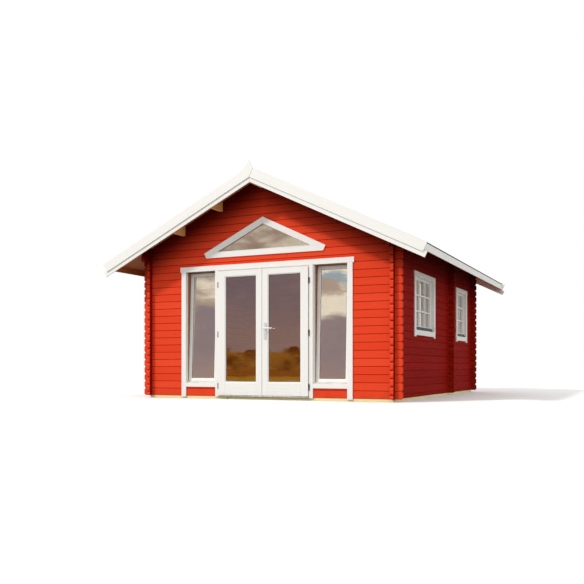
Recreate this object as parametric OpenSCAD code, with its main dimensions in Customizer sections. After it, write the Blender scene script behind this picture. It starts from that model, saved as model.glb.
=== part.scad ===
// Log cabin with a glazed double door, built from machined logs that
// interlock at the corners, under a boarded and felted gable roof.
// Origin: centre of the footprint on the ground. Front faces -Y, +Z is up.

/* [Logs] */
// Height of one log course
log_h = 114; // [95:1:140]
// Thickness of a log
log_t = 50; // [40:1:70]
// How far the front, back and partition logs run past the side walls
log_end = 106; // [60:1:130]
// How far the side wall logs run past the front and back walls
side_end = 76; // [60:1:120]
// Depth of the bevel along each log edge
log_bevel = 5; // [3:0.5:8]
// Radius of the rounded corners of a log end
log_end_r = 34; // [10:1:45]

/* [Cabin] */
// Width over the outer faces of the side walls
cabin_w = 4093; // [3800:1:5200]
// Depth over the outer faces of the front and back walls
cabin_d = 4936; // [4700:1:6200]
// Distance from the front wall's outer face to the partition
partition_y = 3078; // [2700:1:3300]
// Courses of the front wall up to the top of the door opening
door_courses = 17; // [16:1:18]
// Whole courses in a side wall, above its half course
side_courses = 18; // [18:1:20]
// How far the top side logs reach past the front and back walls
bracket_reach = 228; // [120:1:300]
// Width of the open doorway in the partition
pass_w = 800; // [700:1:900]
// How far that doorway lies left of the middle
pass_x = 250; // [0:1:600]
// Height of the foundation beams
beam_h = 40; // [30:1:100]
// Width of the foundation beams
beam_w = 60; // [45:1:120]
// Inset of the foundation beams from the wall faces
beam_inset = 5; // [2:1:15]
// Number of spaces between the floor joists
joist_n = 9; // [6:1:12]
// Thickness of the floor boards
floor_t = 20; // [15:1:30]

/* [Roof] */
// Roof pitch in degrees
roof_angle = 25.8; // [20:0.1:30]
// How much the roof slope takes off the top side logs
eaves_cut = 10; // [5:1:40]
// Eaves overhang past the side walls
eaves_out = 576; // [450:1:700]
// Gable overhang past the front and back walls
gable_out = 439; // [380:1:520]
// Thickness of the roof boards
deck_t = 19; // [15:1:28]
// Thickness of the roofing felt
felt_t = 4; // [3:0.5:6]
// How far the felt runs past the eaves boards
felt_drip = 6; // [3:1:15]
// How far the barge boards stand above the felt
barge_lip = 6; // [3:1:15]
// Width of the outer barge boards
barge_w = 143; // [120:1:170]
// How much of the inner barge board shows below the outer one
barge_step = 60; // [40:1:100]
// How far the inner barge boards run past the outer ones
barge_past = 51; // [20:1:70]
// How far the eaves boards stand inside the barge boards' ends
eaves_inset = 57; // [0:1:90]
// Thickness of barge and eaves boards
barge_t = 16; // [12:1:28]
// Height of the boards along the eaves
eaves_board_h = 113; // [90:1:140]
// Rise of the pointed horn above the barge boards at the ridge
horn_h = 96; // [40:1:120]
// Length of the curve that sweeps up to the horn
horn_run = 190; // [120:1:300]
// How far the horn's point lies left of the middle
horn_tip = 16; // [5:1:30]
// Width of the side purlins
purlin_w = 58; // [45:1:70]
// Height of a side purlin on its face towards the ridge
purlin_h = 148; // [120:1:175]
// Distances of the side purlins from the middle
purlin_x = [695, 1373]; // [600:1:1500]
// Width of the ridge purlin
ridge_w = 70; // [45:1:90]
// Height of the ridge purlin
ridge_h = 190; // [150:1:220]

/* [Door group] */
// Width of one door leaf
leaf_w = 746; // [620:1:900]
// Gap between the two leaves
leaf_gap = 8; // [8:1:12]
// Gap between a leaf and its frame
frame_gap = 6; // [5:1:10]
// Thickness of a door leaf
leaf_t = 54; // [44:1:60]
// How far the leaves stand in front of the frame
leaf_proud = 20; // [15:1:30]
// Height of the leaf's lower edge above the wall's bottom
leaf_z = 22; // [18:1:30]
// Height of the head of the door frame
door_head = 20; // [15:1:60]
// Width of the stile on the hinge side
hinge_stile = 127; // [100:1:140]
// Width of the stile on the meeting side
meet_stile = 104; // [90:1:120]
// Height of the leaf's bottom rail
bottom_rail = 206; // [150:1:250]
// Height of the leaf's top rail
top_rail = 97; // [80:1:120]
// Width of a door post
post_w = 61; // [50:1:80]
// Depth of the door and sidelight frames
frame_d = 143; // [100:1:160]
// Clear width of the opening beside a post
sidelight_w = 532; // [440:1:640]
// Thickness of the sidelight lining
lining_t = 14; // [10:1:20]
// Width of the sidelight sash bars
sash_w = 56; // [40:1:70]
// Thickness of a sash
sash_t = 36; // [28:1:45]
// Distance of a sidelight sash's foot behind the wall's outer face
sash_in = 54; // [42:1:60]
// How far a sidelight sash leans inwards on its vent latch, in degrees
sash_lean = 2.4; // [0:0.1:4]
// Gap between a sidelight sash and its lining
sash_gap = 3; // [2:0.5:5]
// Thickness of glass
glass_t = 6; // [4:1:8]
// Height of the sidelight glass above the opening's lower edge
sidelight_rise = 105; // [90:1:160]

/* [Trim] */
// Thickness of the trim boards
trim_t = 18; // [15:1:25]
// Width of the upright trim boards
trim_w = 81; // [70:1:95]
// How far the long head board laps down over the door frame's head
head_lap = 8; // [3:1:15]
// Height of the long head board
head_h = 79; // [60:1:100]
// How far the head board runs past the upright boards
head_ear = 22; // [0:1:40]
// Height of the boards under the sidelights
sill_h = 61; // [50:1:80]
// How far those boards hang below the sidelight openings
sill_drop = 30; // [10:1:45]
// How far the upright boards hang below the wall
trim_drop = 15; // [5:1:25]

/* [Gable window] */
// Height of the glass's lower edge above the door opening
tri_rise = 278; // [250:1:330]
// Half the width of the glass at its lower edge
tri_half = 780; // [650:1:850]
// Width of the boards round the glass
tri_trim = 90; // [75:1:100]
// How much of the frame shows inside its boards
tri_lip = 12; // [8:1:20]
// How far the boards run past the glass's lower corners
tri_cut = 242; // [200:1:300]
// Distance of the glass behind the wall's outer face
tri_inset = 10; // [5:1:30]

/* [Side windows] */
// Distance of the front room's window from the front wall
win1_y = 934; // [800:1:1000]
// Width of its boards over all
win1_w = 1191; // [1100:1:1350]
// Distance of the back room's window from the front wall
win2_y = 3623; // [3500:1:3700]
// Width of its boards over all
win2_w = 879; // [800:1:1000]
// Height of the window boards over all
win_h = 983; // [800:1:1180]
// Distance of their top below the top of the door opening
win_drop = 46; // [20:1:150]
// Width of the window boards
win_trim = 78; // [70:1:90]
// Length of the side boards past the lower board
win_leg = 23; // [10:1:40]
// Width of a glazing bar
bar_w = 22; // [16:1:30]
// Width of a window sash's stiles
win_stile = 76; // [50:1:90]
// Width of a window sash's rails
win_rail = 32; // [25:1:50]
// Distance of a sash behind the wall's outer face
win_recess = 32; // [15:1:40]
// Height of the sloping flashing under a sash
flash_h = 36; // [20:1:40]
// Height of its front edge
flash_lip = 4; // [2:1:10]
// Depth of a window frame
win_d = 88; // [70:1:110]

/* [Door hardware] */
// Height of the lever above the wall's bottom
lever_z = 1022; // [900:1:1100]
// Length of the lever
lever_l = 145; // [110:1:170]
// Diameter of the lever
lever_d = 18; // [14:1:22]
// Distance of the lever's spindle from the leaf's free edge
lever_in = 52; // [40:1:60]
// Height of the lock plate
plate_h = 250; // [200:1:280]
// How far the lock plate reaches below the lever
plate_drop = 161; // [120:1:200]
// How far the lever stands off its plate
knob_out = 46; // [35:1:60]
// Diameter of the spindle through the leaf
spindle_d = 9; // [8:1:12]
// Width of the lock plate
plate_w = 46; // [36:1:50]
// Thickness of the lock plate
plate_t = 8; // [4:1:10]
// Length of a hinge
hinge_l = 80; // [60:1:110]
// Diameter of a hinge knuckle
hinge_d = 13; // [10:1:16]
// Height of the lowest hinge above the wall's bottom
hinge_low = 160; // [120:1:220]
// Height of the middle hinge above the lowest one
hinge_mid = 786; // [500:1:800]
// Distance of the top hinge below the leaf's top edge
hinge_down = 204; // [120:1:260]

/* [Hidden] */
$fn = 48;
eps = 1;
half_w = cabin_w / 2;
half_d = cabin_d / 2;
door_top = door_courses * log_h;
eaves_h = (side_courses + 2.5) * log_h - eaves_cut;
roof_half = half_w + eaves_out;
roof_l = cabin_d + 2 * gable_out;
slope = tan(roof_angle);
apex_z = beam_h + eaves_h + half_w * slope;
deck_v = deck_t / cos(roof_angle);
felt_v = felt_t / cos(roof_angle);
deck_half = roof_half - eaves_inset;
eaves_low = roof_z(deck_half) + deck_v - eaves_board_h;
barge_n = deck_t + felt_t + barge_lip;
gable_courses = ceil((apex_z - beam_h) / log_h);
post_in = leaf_gap / 2 + leaf_w + frame_gap;
post_out = post_in + post_w;
group_in = post_out + sidelight_w;
group_out = group_in + trim_w;
rough_half = group_in + lining_t;
sill_cut = 1.5 * log_h;
sill_z = sill_cut - sill_drop;
sidelight_z = sill_cut + sidelight_rise;
sidelight_low = beam_h + sill_cut + 2 * lining_t;
leaf_top = door_top - door_head - frame_gap;
head_z = door_top - head_lap;
tri_z = door_top + tri_rise;
win_top = door_top - win_drop;
win_z = win_top - win_h;
hinge_z = [hinge_low, hinge_low + hinge_mid, leaf_top - hinge_down];
face_y = -half_d;
frame_y = face_y - trim_t;
leaf_y = frame_y - leaf_proud;
hinge_x = post_in + hinge_d / 2;
hinge_stand = 3;
hinge_y = frame_y - hinge_d / 2 - hinge_stand;
hinge_slack = 0.5;
hinge_leaf_t = 3;
pin_d = hinge_d / 2;
pin_end = 4;
pin_play = 0.6;
sash_y = face_y + sash_in;
sash_high = beam_h + door_top - lining_t - sidelight_low;
glass_y = leaf_y + leaf_t / 2 - glass_t / 2;
part_y = face_y + partition_y;
plate_z = lever_z - plate_drop;
spindle_play = 3;
seat_gap = 0.3;
slope_gap = 0.02;
post_drop = 5;
floor_gap = 2;
barge_joint = 0.5;
neck_slim = 4;
pane_rows = 3;

log_red = "firebrick";
paint_white = "whitesmoke";
pine = "peru";
steel = "silver";

// Height of the roof's underside at a distance x from the middle.
function roof_z(x) = apex_z - abs(x) * slope;
// Point beside the right roof slope: s down the slope, n square to it.
function on_slope(s, n) = [
    s * cos(roof_angle) + n * sin(roof_angle),
    apex_z - s * sin(roof_angle) + n * cos(roof_angle)
];
// Height of course line i above the ground.
function course_z(i) = beam_h + i * log_h;
// Edge points of a stack of logs between the course lines in zs.
function bevels(zs, b) = concat(
    [for (i = [0:len(zs) - 2]) each [[b, zs[i]], [0, zs[i] + b], [0, zs[i + 1] - b]]],
    [[b, zs[len(zs) - 1]]]
);
function mirrored(points, t) = [for (i = [len(points) - 1:-1:0]) [t - points[i].x, points[i].y]];

// A box between two corners.
module block(lo, hi) {
    translate(lo) cube(hi - lo);
}

// Turns a section drawn as [across, up] into a bar along X.
module along_x(from, to) {
    translate([from, 0, 0]) rotate([90, 0, 90]) linear_extrude(to - from) children();
}

// Turns a section drawn as [across, up] into a bar along Y.
module along_y(from, to) {
    translate([0, to, 0]) rotate([90, 0, 0]) linear_extrude(to - from) children();
}

// Section of a stack of bevelled logs, standing on the course lines zs.
module log_section(zs) {
    edge = bevels(zs, log_bevel);
    polygon(concat(edge, mirrored(edge, log_t)));
}

// The nick between two rounded log ends, for an end at 0 that points to -X.
module end_nick(z) {
    difference() {
        translate([-eps, z - log_end_r]) square([log_end_r + eps, 2 * log_end_r]);
        translate([log_end_r, z - log_end_r]) circle(log_end_r);
        translate([log_end_r, z + log_end_r]) circle(log_end_r);
    }
}

// Everything under the right and left roof boards, as a gable outline.
module under_roof(from_z) {
    reach = half_w + log_end + eps;
    polygon([
        [-reach, from_z], [reach, from_z], [reach, roof_z(reach)],
        [0, apex_z], [-reach, roof_z(reach)]
    ]);
}

// The walls that run along X: course lines first to last, cut at x0 and x1.
module cross_wall(y, first, last, x0, x1) {
    translate([0, y, 0]) along_x(x0, x1)
        log_section([for (i = [first:last]) course_z(i)]);
}

// Notches and rounded nicks at one corner of a wall that runs along X.
module cross_corner(y, first, last, side) {
    mirror([side < 0 ? 1 : 0, 0, 0]) {
        for (i = [first:last]) {
            translate([half_w - log_t, y - eps, course_z(i) - log_h / 4])
                cube([log_t, log_t + 2 * eps, log_h / 2]);
            translate([half_w + log_end, 0, 0]) mirror([1, 0, 0])
                along_y(y - eps, y + log_t + eps) end_nick(course_z(i));
        }
    }
}

// Slots in a gable wall where the purlins pass through, open at the top.
module purlin_slots(y) {
    over = log_h;
    along_y(y - eps, y + log_t + eps) {
        translate([-ridge_w / 2, apex_z - ridge_h]) square([ridge_w, ridge_h + over]);
        for (x = purlin_x, side = [-1, 1])
            translate([side * (x + purlin_w / 2) - purlin_w / 2, roof_z(x) - purlin_h])
                square([purlin_w, purlin_h + over]);
    }
}

module ridge_section() {
    polygon([
        [-ridge_w / 2, apex_z - ridge_h], [ridge_w / 2, apex_z - ridge_h],
        [ridge_w / 2, roof_z(ridge_w / 2)], [0, apex_z], [-ridge_w / 2, roof_z(ridge_w / 2)]
    ]);
}

module side_purlin_sections() {
    for (x = purlin_x, side = [-1, 1]) {
        polygon([
            [side * x, roof_z(x) - purlin_h], [side * (x + purlin_w), roof_z(x) - purlin_h],
            [side * (x + purlin_w), roof_z(x + purlin_w)], [side * x, roof_z(x)]
        ]);
    }
}

// A gable wall from the door course up to the roof, cut for the purlins.
module gable_wall(y) {
    reach = half_w + log_end;
    difference() {
        intersection() {
            cross_wall(y, door_courses, gable_courses, -reach, reach);
            along_y(y - eps, y + log_t + eps) under_roof(course_z(door_courses) - eps);
        }
        for (side = [-1, 1])
            cross_corner(y, door_courses, side_courses + 2, side);
        purlin_slots(y);
    }
}

// The part of a cross wall below the door course on one side of the middle.
module low_wall(y, inner, side) {
    reach = half_w + log_end;
    difference() {
        cross_wall(y, 0, door_courses, side < 0 ? -reach : inner, side < 0 ? -inner : reach);
        cross_corner(y, 0, door_courses, side);
    }
}

// Floor frame: beams under every wall and joists between them.
module foundation_beams() color("khaki") {
    x = half_w - beam_inset;
    y = half_d - beam_inset;
    step = (2 * y - beam_w) / joist_n;
    for (side = [-1, 1])
        translate([side * (x - beam_w / 2) - beam_w / 2, -y, 0]) cube([beam_w, 2 * y, beam_h]);
    for (i = [0:joist_n])
        translate([-x, -y + i * step, 0]) cube([2 * x, beam_w, beam_h]);
    block([-x, part_y, 0], [x, part_y + beam_w, beam_h]);
}

// Floors of the two rooms, notched round the feet of the door posts.
module floor_boards() color(pine) {
    x = half_w - log_t - floor_gap;
    difference() {
        for (span = [[face_y + log_t, part_y], [part_y + log_t, half_d - log_t]])
            block([-x, span[0] + floor_gap, beam_h], [x, span[1] - floor_gap, beam_h + floor_t]);
        for (side = [0, 1])
            mirror([side, 0, 0])
                block([post_in - floor_gap, face_y, beam_h - eps],
                    [post_out + floor_gap, frame_y + frame_d + floor_gap, beam_h + floor_t + eps]);
    }
}

module front_wall_left() color(log_red) low_wall(face_y, rough_half, -1);

module front_wall_right() color(log_red) low_wall(face_y, rough_half, 1);

// Low pieces of wall that close the opening under the two sidelights.
module front_wall_sills() color(log_red) {
    for (side = [-1, 1])
        mirror([side < 0 ? 1 : 0, 0, 0])
            translate([0, face_y, 0]) along_x(post_out, rough_half)
                difference() {
                    log_section([for (i = [0:2]) course_z(i)]);
                    translate([-eps, beam_h + sill_cut]) square([log_t + 2 * eps, log_h]);
                }
}

// Outline of the gable window's glass grown by d on every side.
module tri_outline(d) {
    grow = d / sin(roof_angle) + d / tan(roof_angle);
    half = tri_half + grow;
    low = beam_h + tri_z - d;
    polygon([[-half, low], [half, low], [0, low + half * slope]]);
}

module front_gable() color(log_red) {
    difference() {
        gable_wall(face_y);
        along_y(face_y - eps, face_y + log_t + eps) tri_outline(tri_lip + lining_t);
    }
}

// A side wall: half a log at the bottom, long top logs that carry the roof,
// and notches where the front wall, the partition and the back wall pass.
module side_wall(side) {
    reach = half_d + side_end;
    bracket = half_d + bracket_reach;
    low = [0, for (i = [0:side_courses]) i + 0.5];
    high = [for (i = [0:2]) side_courses + 0.5 + i];
    over = course_z(side_courses + 3.5);
    mirror([side > 0 ? 1 : 0, 0, 0]) translate([-half_w, 0, 0]) difference() {
        union() {
            along_y(-reach, reach) log_section([for (i = low) course_z(i)]);
            along_y(-bracket, bracket) difference() {
                log_section([for (i = high) course_z(i)]);
                polygon([
                    [-eps, roof_z(half_w + eps)], [log_t + eps, roof_z(half_w - log_t - eps)],
                    [log_t + eps, over], [-eps, over]
                ]);
            }
        }
        for (i = [0:side_courses + 2], y = [face_y, part_y, half_d - log_t])
            translate([-eps, y, course_z(i) + log_h / 4])
                cube([log_t + 2 * eps, log_t, log_h / 2]);
        for (end = [-1, 1]) {
            for (i = [0:side_courses - 1])
                side_nick(end, reach, course_z(i + 0.5));
            for (i = [side_courses, side_courses + 1])
                side_nick(end, bracket, course_z(i + 0.5));
        }
    }
}

module side_nick(end, reach, z) {
    rotate([90, 0, 90]) translate([0, 0, -eps]) linear_extrude(log_t + 2 * eps)
        scale([end, 1]) translate([-reach, 0]) end_nick(z);
}

module left_wall() color(log_red) side_wall(-1);

module right_wall() color(log_red) {
    difference() {
        side_wall(1);
        for (w = [[win1_y, win1_w], [win2_y, win2_w]])
            block([half_w - log_t - eps, face_y + w[0] + win_trim - lining_t,
                    beam_h + win_z + win_leg + win_trim - lining_t],
                [half_w + eps, face_y + w[0] + w[1] - win_trim + lining_t,
                    beam_h + win_top - win_trim + lining_t]);
    }
}

module back_wall() color(log_red) {
    reach = half_w + log_end;
    y = half_d - log_t;
    difference() {
        cross_wall(y, 0, door_courses, -reach, reach);
        for (side = [-1, 1])
            cross_corner(y, 0, door_courses, side);
    }
}

module back_gable() color(log_red) gable_wall(half_d - log_t);

// The partition has an open doorway, left of its middle.
module partition_left() color(log_red) low_wall(part_y, pass_x + pass_w / 2, -1);

module partition_right() color(log_red) low_wall(part_y, pass_w / 2 - pass_x, 1);

module partition_gable() color(log_red) gable_wall(part_y);

module ridge_purlin() color(pine) {
    y = roof_l / 2 - 2 * barge_t;
    along_y(-y, y) ridge_section();
}

module side_purlins() color(pine) {
    y = roof_l / 2 - 2 * barge_t;
    along_y(-y, y) side_purlin_sections();
}

// Roof boards of the right slope, from the ridge to the eaves board. They
// lie a hair's breadth above what carries them, as the felt does on them.
module roof_boards() {
    x = deck_half - barge_t;
    y = roof_l / 2 - barge_t;
    along_y(-y, y) polygon([
        [0, apex_z + slope_gap], [x, roof_z(x) + slope_gap],
        [x, roof_z(x) + deck_v], [0, apex_z + deck_v]
    ]);
}

module roof_boards_left() color(pine) mirror([1, 0, 0]) roof_boards();

module roof_boards_right() color(pine) roof_boards();

module roof_felt() color("dimgray") {
    x = deck_half + felt_drip;
    y = roof_l / 2 - barge_t;
    low = roof_z(x) + deck_v;
    under = slope_gap;
    along_y(-y, y) polygon([
        [-x, low + under], [0, apex_z + deck_v + under], [x, low + under],
        [x, low + felt_v], [0, apex_z + deck_v + felt_v], [-x, low + felt_v]
    ]);
}

// Outline of the right outer barge board, cut square at both ends.
module barge_right_outline() {
    low_n = barge_n - barge_w;
    start = -low_n * tan(roof_angle);
    finish = (roof_half - barge_n * sin(roof_angle)) / cos(roof_angle);
    polygon([
        on_slope(start, low_n), on_slope(finish, low_n),
        on_slope(finish, barge_n), on_slope(start, barge_n)
    ]);
}

// Outline of the left outer barge board: it runs past the middle to the
// right board's end, and its upper edge sweeps up into a pointed horn.
module barge_left_outline() {
    low_n = barge_n - barge_w;
    start = -low_n * tan(roof_angle);
    finish = (roof_half - barge_n * sin(roof_angle)) / cos(roof_angle);
    meet = on_slope(start, barge_n);
    foot = on_slope(start, low_n);
    end_low = on_slope(finish, low_n);
    end_top = on_slope(finish, barge_n);
    edge_0 = apex_z + barge_n / cos(roof_angle);
    bend = horn_tip + (horn_run - horn_tip) / 5;
    tip = [-horn_tip, edge_0 + horn_h];
    sweep_a = [-horn_run, edge_0 - horn_run * slope];
    sweep_b = [-bend, edge_0 - bend * slope];
    steps = 8;
    polygon(concat(
        [[-end_low.x, end_low.y], foot + [-barge_joint, 0], meet + [-barge_joint, 0]],
        [for (i = [0:steps]) let (t = i / steps)
            (1 - t) * (1 - t) * tip + 2 * t * (1 - t) * sweep_b + t * t * sweep_a],
        [[-end_top.x, end_top.y]]
    ));
}

// Inner barge board of the right slope: a narrower board behind the outer
// one's lower edge. It runs under the eaves board and past the outer board.
module inner_barge_outline() {
    x_in = deck_half - barge_t;
    low_n = barge_n - barge_w - barge_step;
    top_n = x_in * sin(roof_angle) + (eaves_low - apex_z) * cos(roof_angle) - barge_joint;
    s_end = (roof_half - barge_n * sin(roof_angle)) / cos(roof_angle) + barge_past;
    in = barge_joint;
    polygon([
        [in, roof_z(in) + top_n / cos(roof_angle)], [in, roof_z(in) + low_n / cos(roof_angle)],
        on_slope(s_end, low_n), on_slope(s_end, top_n)
    ]);
}

module front_barge_boards() color(paint_white) {
    along_y(-roof_l / 2, -roof_l / 2 + barge_t) {
        barge_right_outline();
        barge_left_outline();
    }
}

module front_inner_barges() color(paint_white) {
    along_y(-roof_l / 2 + barge_t, -roof_l / 2 + 2 * barge_t) {
        inner_barge_outline();
        mirror([1, 0]) inner_barge_outline();
    }
}

module back_barge_boards() color(paint_white) rotate([0, 0, 180]) front_barge_boards();

module back_inner_barges() color(paint_white) rotate([0, 0, 180]) front_inner_barges();

module eaves_boards() color(paint_white) {
    y = roof_l / 2 - barge_t;
    x_in = deck_half - barge_t;
    for (side = [-1, 1])
        along_y(-y, y) polygon([
            [side * x_in, eaves_low], [side * deck_half, eaves_low],
            [side * deck_half, roof_z(deck_half) + deck_v],
            [side * x_in, roof_z(x_in) + deck_v]
        ]);
}

// What the front foundation beam takes away from pieces that lap over it.
module beam_notch() {
    block([-group_out, face_y + beam_inset, 0], [group_out, 0, beam_h]);
}

// Posts and head of the double door, joined into one frame. The posts stop
// under the long head board and stand on the foundation beam.
module door_frame() color(paint_white) {
    head_low = beam_h + leaf_top + frame_gap;
    back = frame_y + frame_d;
    difference() {
        union() {
            for (side = [-1, 1])
                block([side < 0 ? -post_out : post_in, frame_y, beam_h - post_drop],
                    [side < 0 ? -post_in : post_out, back, beam_h + door_top]);
            block([-post_in, face_y, head_low], [post_in, back, beam_h + door_top]);
        }
        block([-group_out, frame_y - eps, beam_h + head_z],
            [group_out, face_y, beam_h + head_z + head_h]);
        beam_notch();
    }
}

module door_threshold() color(steel) {
    difference() {
        block([-post_in, leaf_y + frame_gap, beam_h - post_drop],
            [post_in, face_y + log_t, beam_h + leaf_z - frame_gap]);
        beam_notch();
    }
}

// One door leaf, drawn for the right side with its free edge at the middle.
module leaf() {
    x0 = leaf_gap / 2;
    x1 = x0 + leaf_w;
    z0 = beam_h + leaf_z;
    z1 = beam_h + leaf_top;
    glass = [x0 + meet_stile, x1 - hinge_stile, z0 + bottom_rail, z1 - top_rail];
    difference() {
        block([x0, leaf_y, z0], [x1, leaf_y + leaf_t, z1]);
        block([glass[0], leaf_y - eps, glass[2]], [glass[1], leaf_y + leaf_t + eps, glass[3]]);
    }
}

// The glass fills the opening of the leaf from edge to edge.
module leaf_glass() {
    x0 = leaf_gap / 2 + meet_stile;
    x1 = leaf_gap / 2 + leaf_w - hinge_stile;
    block([x0, glass_y, beam_h + leaf_z + bottom_rail],
        [x1, glass_y + glass_t, beam_h + leaf_top - top_rail]);
}

module left_door() color(paint_white) mirror([1, 0, 0]) leaf();

module right_door() color(paint_white) {
    difference() {
        leaf();
        translate([leaf_gap / 2 + lever_in, leaf_y - eps, beam_h + lever_z]) rotate([-90, 0, 0])
            cylinder(d = spindle_d + spindle_play, h = leaf_t + 2 * eps);
    }
}

module left_door_glass() color("slategray") mirror([1, 0, 0]) leaf_glass();

module right_door_glass() color("slategray") leaf_glass();

// Lower half of a hinge, with the pin, on the door post.
module frame_hinge(z) {
    half = hinge_l / 2 - hinge_slack;
    translate([hinge_x, hinge_y, z - hinge_l / 2]) {
        cylinder(d = hinge_d, h = half);
        cylinder(d = pin_d, h = hinge_l - 2 * pin_end);
        translate([-hinge_leaf_t / 2, 0, 0]) cube([hinge_leaf_t, frame_y - hinge_y, half]);
    }
}

// Upper half of a hinge, with the hole for the pin, on the door leaf.
module leaf_hinge(z) {
    half = hinge_l / 2 - hinge_slack;
    reach = hinge_d / 2 + frame_gap;
    translate([hinge_x, hinge_y, z + hinge_slack]) difference() {
        union() {
            cylinder(d = hinge_d, h = half);
            translate([-reach, -hinge_leaf_t / 2, 0]) cube([reach, hinge_leaf_t, half]);
        }
        translate([0, 0, -eps]) cylinder(d = pin_d + pin_play, h = half - pin_end + eps);
    }
}

module frame_hinges() color(steel) {
    for (z = hinge_z, side = [0, 1])
        mirror([side, 0, 0]) frame_hinge(beam_h + z);
}

module left_door_hinges() color(steel) {
    for (z = hinge_z)
        mirror([1, 0, 0]) leaf_hinge(beam_h + z);
}

module right_door_hinges() color(steel) {
    for (z = hinge_z)
        leaf_hinge(beam_h + z);
}

// Lock plates outside and inside the right leaf, bored for the spindle.
module door_plates() color(steel) {
    x = leaf_gap / 2 + lever_in;
    for (y = [leaf_y - plate_t, leaf_y + leaf_t])
        difference() {
            block([x - plate_w / 2, y, beam_h + plate_z], [x + plate_w / 2, y + plate_t,
                beam_h + plate_z + plate_h]);
            translate([x, y - eps, beam_h + lever_z]) rotate([-90, 0, 0])
                cylinder(d = spindle_d + spindle_play, h = plate_t + 2 * eps);
        }
}

// A straight lever with round ends, pointing along +X from its spindle.
module lever_arm() {
    r = lever_d / 2;
    run = lever_l - lever_d;
    rotate([0, 90, 0]) rotate_extrude() intersection() {
        union() {
            circle(r);
            translate([0, run]) circle(r);
            square([r, run]);
        }
        translate([0, -r]) square([r, run + 2 * r]);
    }
}

// Levers outside and inside, on one spindle with a thicker neck at each end.
module door_lever() color(steel) {
    out = leaf_y - plate_t - knob_out;
    in = leaf_y + leaf_t + plate_t + knob_out;
    neck = knob_out - seat_gap;
    neck_d = lever_d - neck_slim;
    translate([leaf_gap / 2 + lever_in, 0, beam_h + lever_z]) {
        for (y = [out, in])
            translate([0, y, 0]) lever_arm();
        translate([0, out, 0]) rotate([-90, 0, 0]) cylinder(d = spindle_d, h = in - out);
        for (y = [out, in - neck])
            translate([0, y, 0]) rotate([-90, 0, 0]) cylinder(d = neck_d, h = neck);
    }
}

// Lining of the right sidelight's opening.
module sidelight_frame() {
    x0 = post_out;
    x1 = rough_half;
    z1 = beam_h + door_top;
    back = frame_y + frame_d;
    difference() {
        block([x0, face_y, beam_h + sill_cut], [x1, back, z1]);
        block([x0 + lining_t, face_y - eps, sidelight_low],
            [x1 - lining_t, back + eps, z1 - lining_t]);
    }
}

// Stands an upright piece, drawn in front of Y = 0, on the sidelight lining
// and leans it inwards about its back lower edge.
module leaning() {
    translate([0, sash_y + sash_t, sidelight_low + seat_gap]) rotate([-sash_lean, 0, 0])
        children();
}

// Sash of the right sidelight, bottom-hung and left ajar.
module sidelight_sash() {
    x0 = post_out + lining_t;
    x1 = rough_half - lining_t;
    leaning() difference() {
        block([x0 + sash_gap, -sash_t, 0], [x1 - sash_gap, 0, sash_high - 2 * sash_gap]);
        block([x0 + sash_w, -sash_t - eps, beam_h + sidelight_z - sidelight_low],
            [x1 - sash_w, eps, sash_high - sash_w]);
    }
}

module sidelight_pane() {
    x0 = post_out + lining_t + sash_w;
    x1 = rough_half - lining_t - sash_w;
    y = -sash_t / 2 - glass_t / 2;
    leaning() block([x0, y, beam_h + sidelight_z - sidelight_low],
        [x1, y + glass_t, sash_high - sash_w]);
}

module sidelight_frames() color(paint_white) {
    sidelight_frame();
    mirror([1, 0, 0]) sidelight_frame();
}

module sidelight_sashes() color(paint_white) {
    sidelight_sash();
    mirror([1, 0, 0]) sidelight_sash();
}

module sidelight_glass() color("slategray") {
    sidelight_pane();
    mirror([1, 0, 0]) sidelight_pane();
}

// White boards round the whole door group: head, four uprights, two sills.
module front_trim() color(paint_white) {
    x = group_out + head_ear;
    block([-x, frame_y, beam_h + head_z], [x, face_y, beam_h + head_z + head_h]);
    for (side = [0, 1])
        mirror([side, 0, 0]) {
            block([group_in, frame_y, beam_h - trim_drop], [group_out, face_y, beam_h + head_z]);
            block([post_out, frame_y, beam_h + sill_z], [group_in, face_y,
                beam_h + sill_z + sill_h]);
        }
}

module gable_window_frame() color(paint_white) {
    along_y(face_y - trim_t, face_y + log_t) difference() {
        tri_outline(tri_lip);
        tri_outline(0);
    }
}

module gable_window_glass() color("slategray") {
    along_y(face_y + tri_inset, face_y + tri_inset + glass_t) tri_outline(0);
}

// Boards round the gable window, with their lower corners cut square.
module gable_window_trim() color(paint_white) {
    past = 5 * tri_trim;
    along_y(face_y - trim_t, face_y) difference() {
        tri_outline(tri_trim);
        tri_outline(tri_lip);
        for (side = [0, 1])
            mirror([side, 0]) translate([tri_half + tri_cut, beam_h + tri_z])
                rotate(-90 - roof_angle) translate([-past, 0]) square([2 * past, past]);
    }
}

// Frame, sash and glazing bars of one side window, w wide over its boards.
module window_frame(y, w, across) {
    y0 = face_y + y + win_trim;
    y1 = y0 + w - 2 * win_trim;
    z0 = beam_h + win_z + win_leg + win_trim;
    z1 = beam_h + win_top - win_trim;
    x0 = half_w - win_d;
    front = half_w - win_recess;
    sash = [y0 + win_stile, y1 - win_stile, z0 + flash_h + win_rail, z1 - win_rail];
    pane_y = (sash[1] - sash[0] - (across - 1) * bar_w) / across;
    pane_z = (sash[3] - sash[2] - (pane_rows - 1) * bar_w) / pane_rows;
    difference() {
        block([x0, y0 - lining_t, z0 - lining_t], [half_w, y1 + lining_t, z1 + lining_t]);
        block([front, y0, z0], [half_w + eps, y1, z1]);
        for (i = [0:across - 1], j = [0:pane_rows - 1])
            translate([x0 - eps, sash[0] + i * (pane_y + bar_w), sash[2] + j * (pane_z + bar_w)])
                cube([win_d + 2 * eps, pane_y, pane_z]);
        block([x0 - eps, sash[0], sash[2]], [front - sash_t, sash[1], sash[3]]);
    }
}

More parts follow.
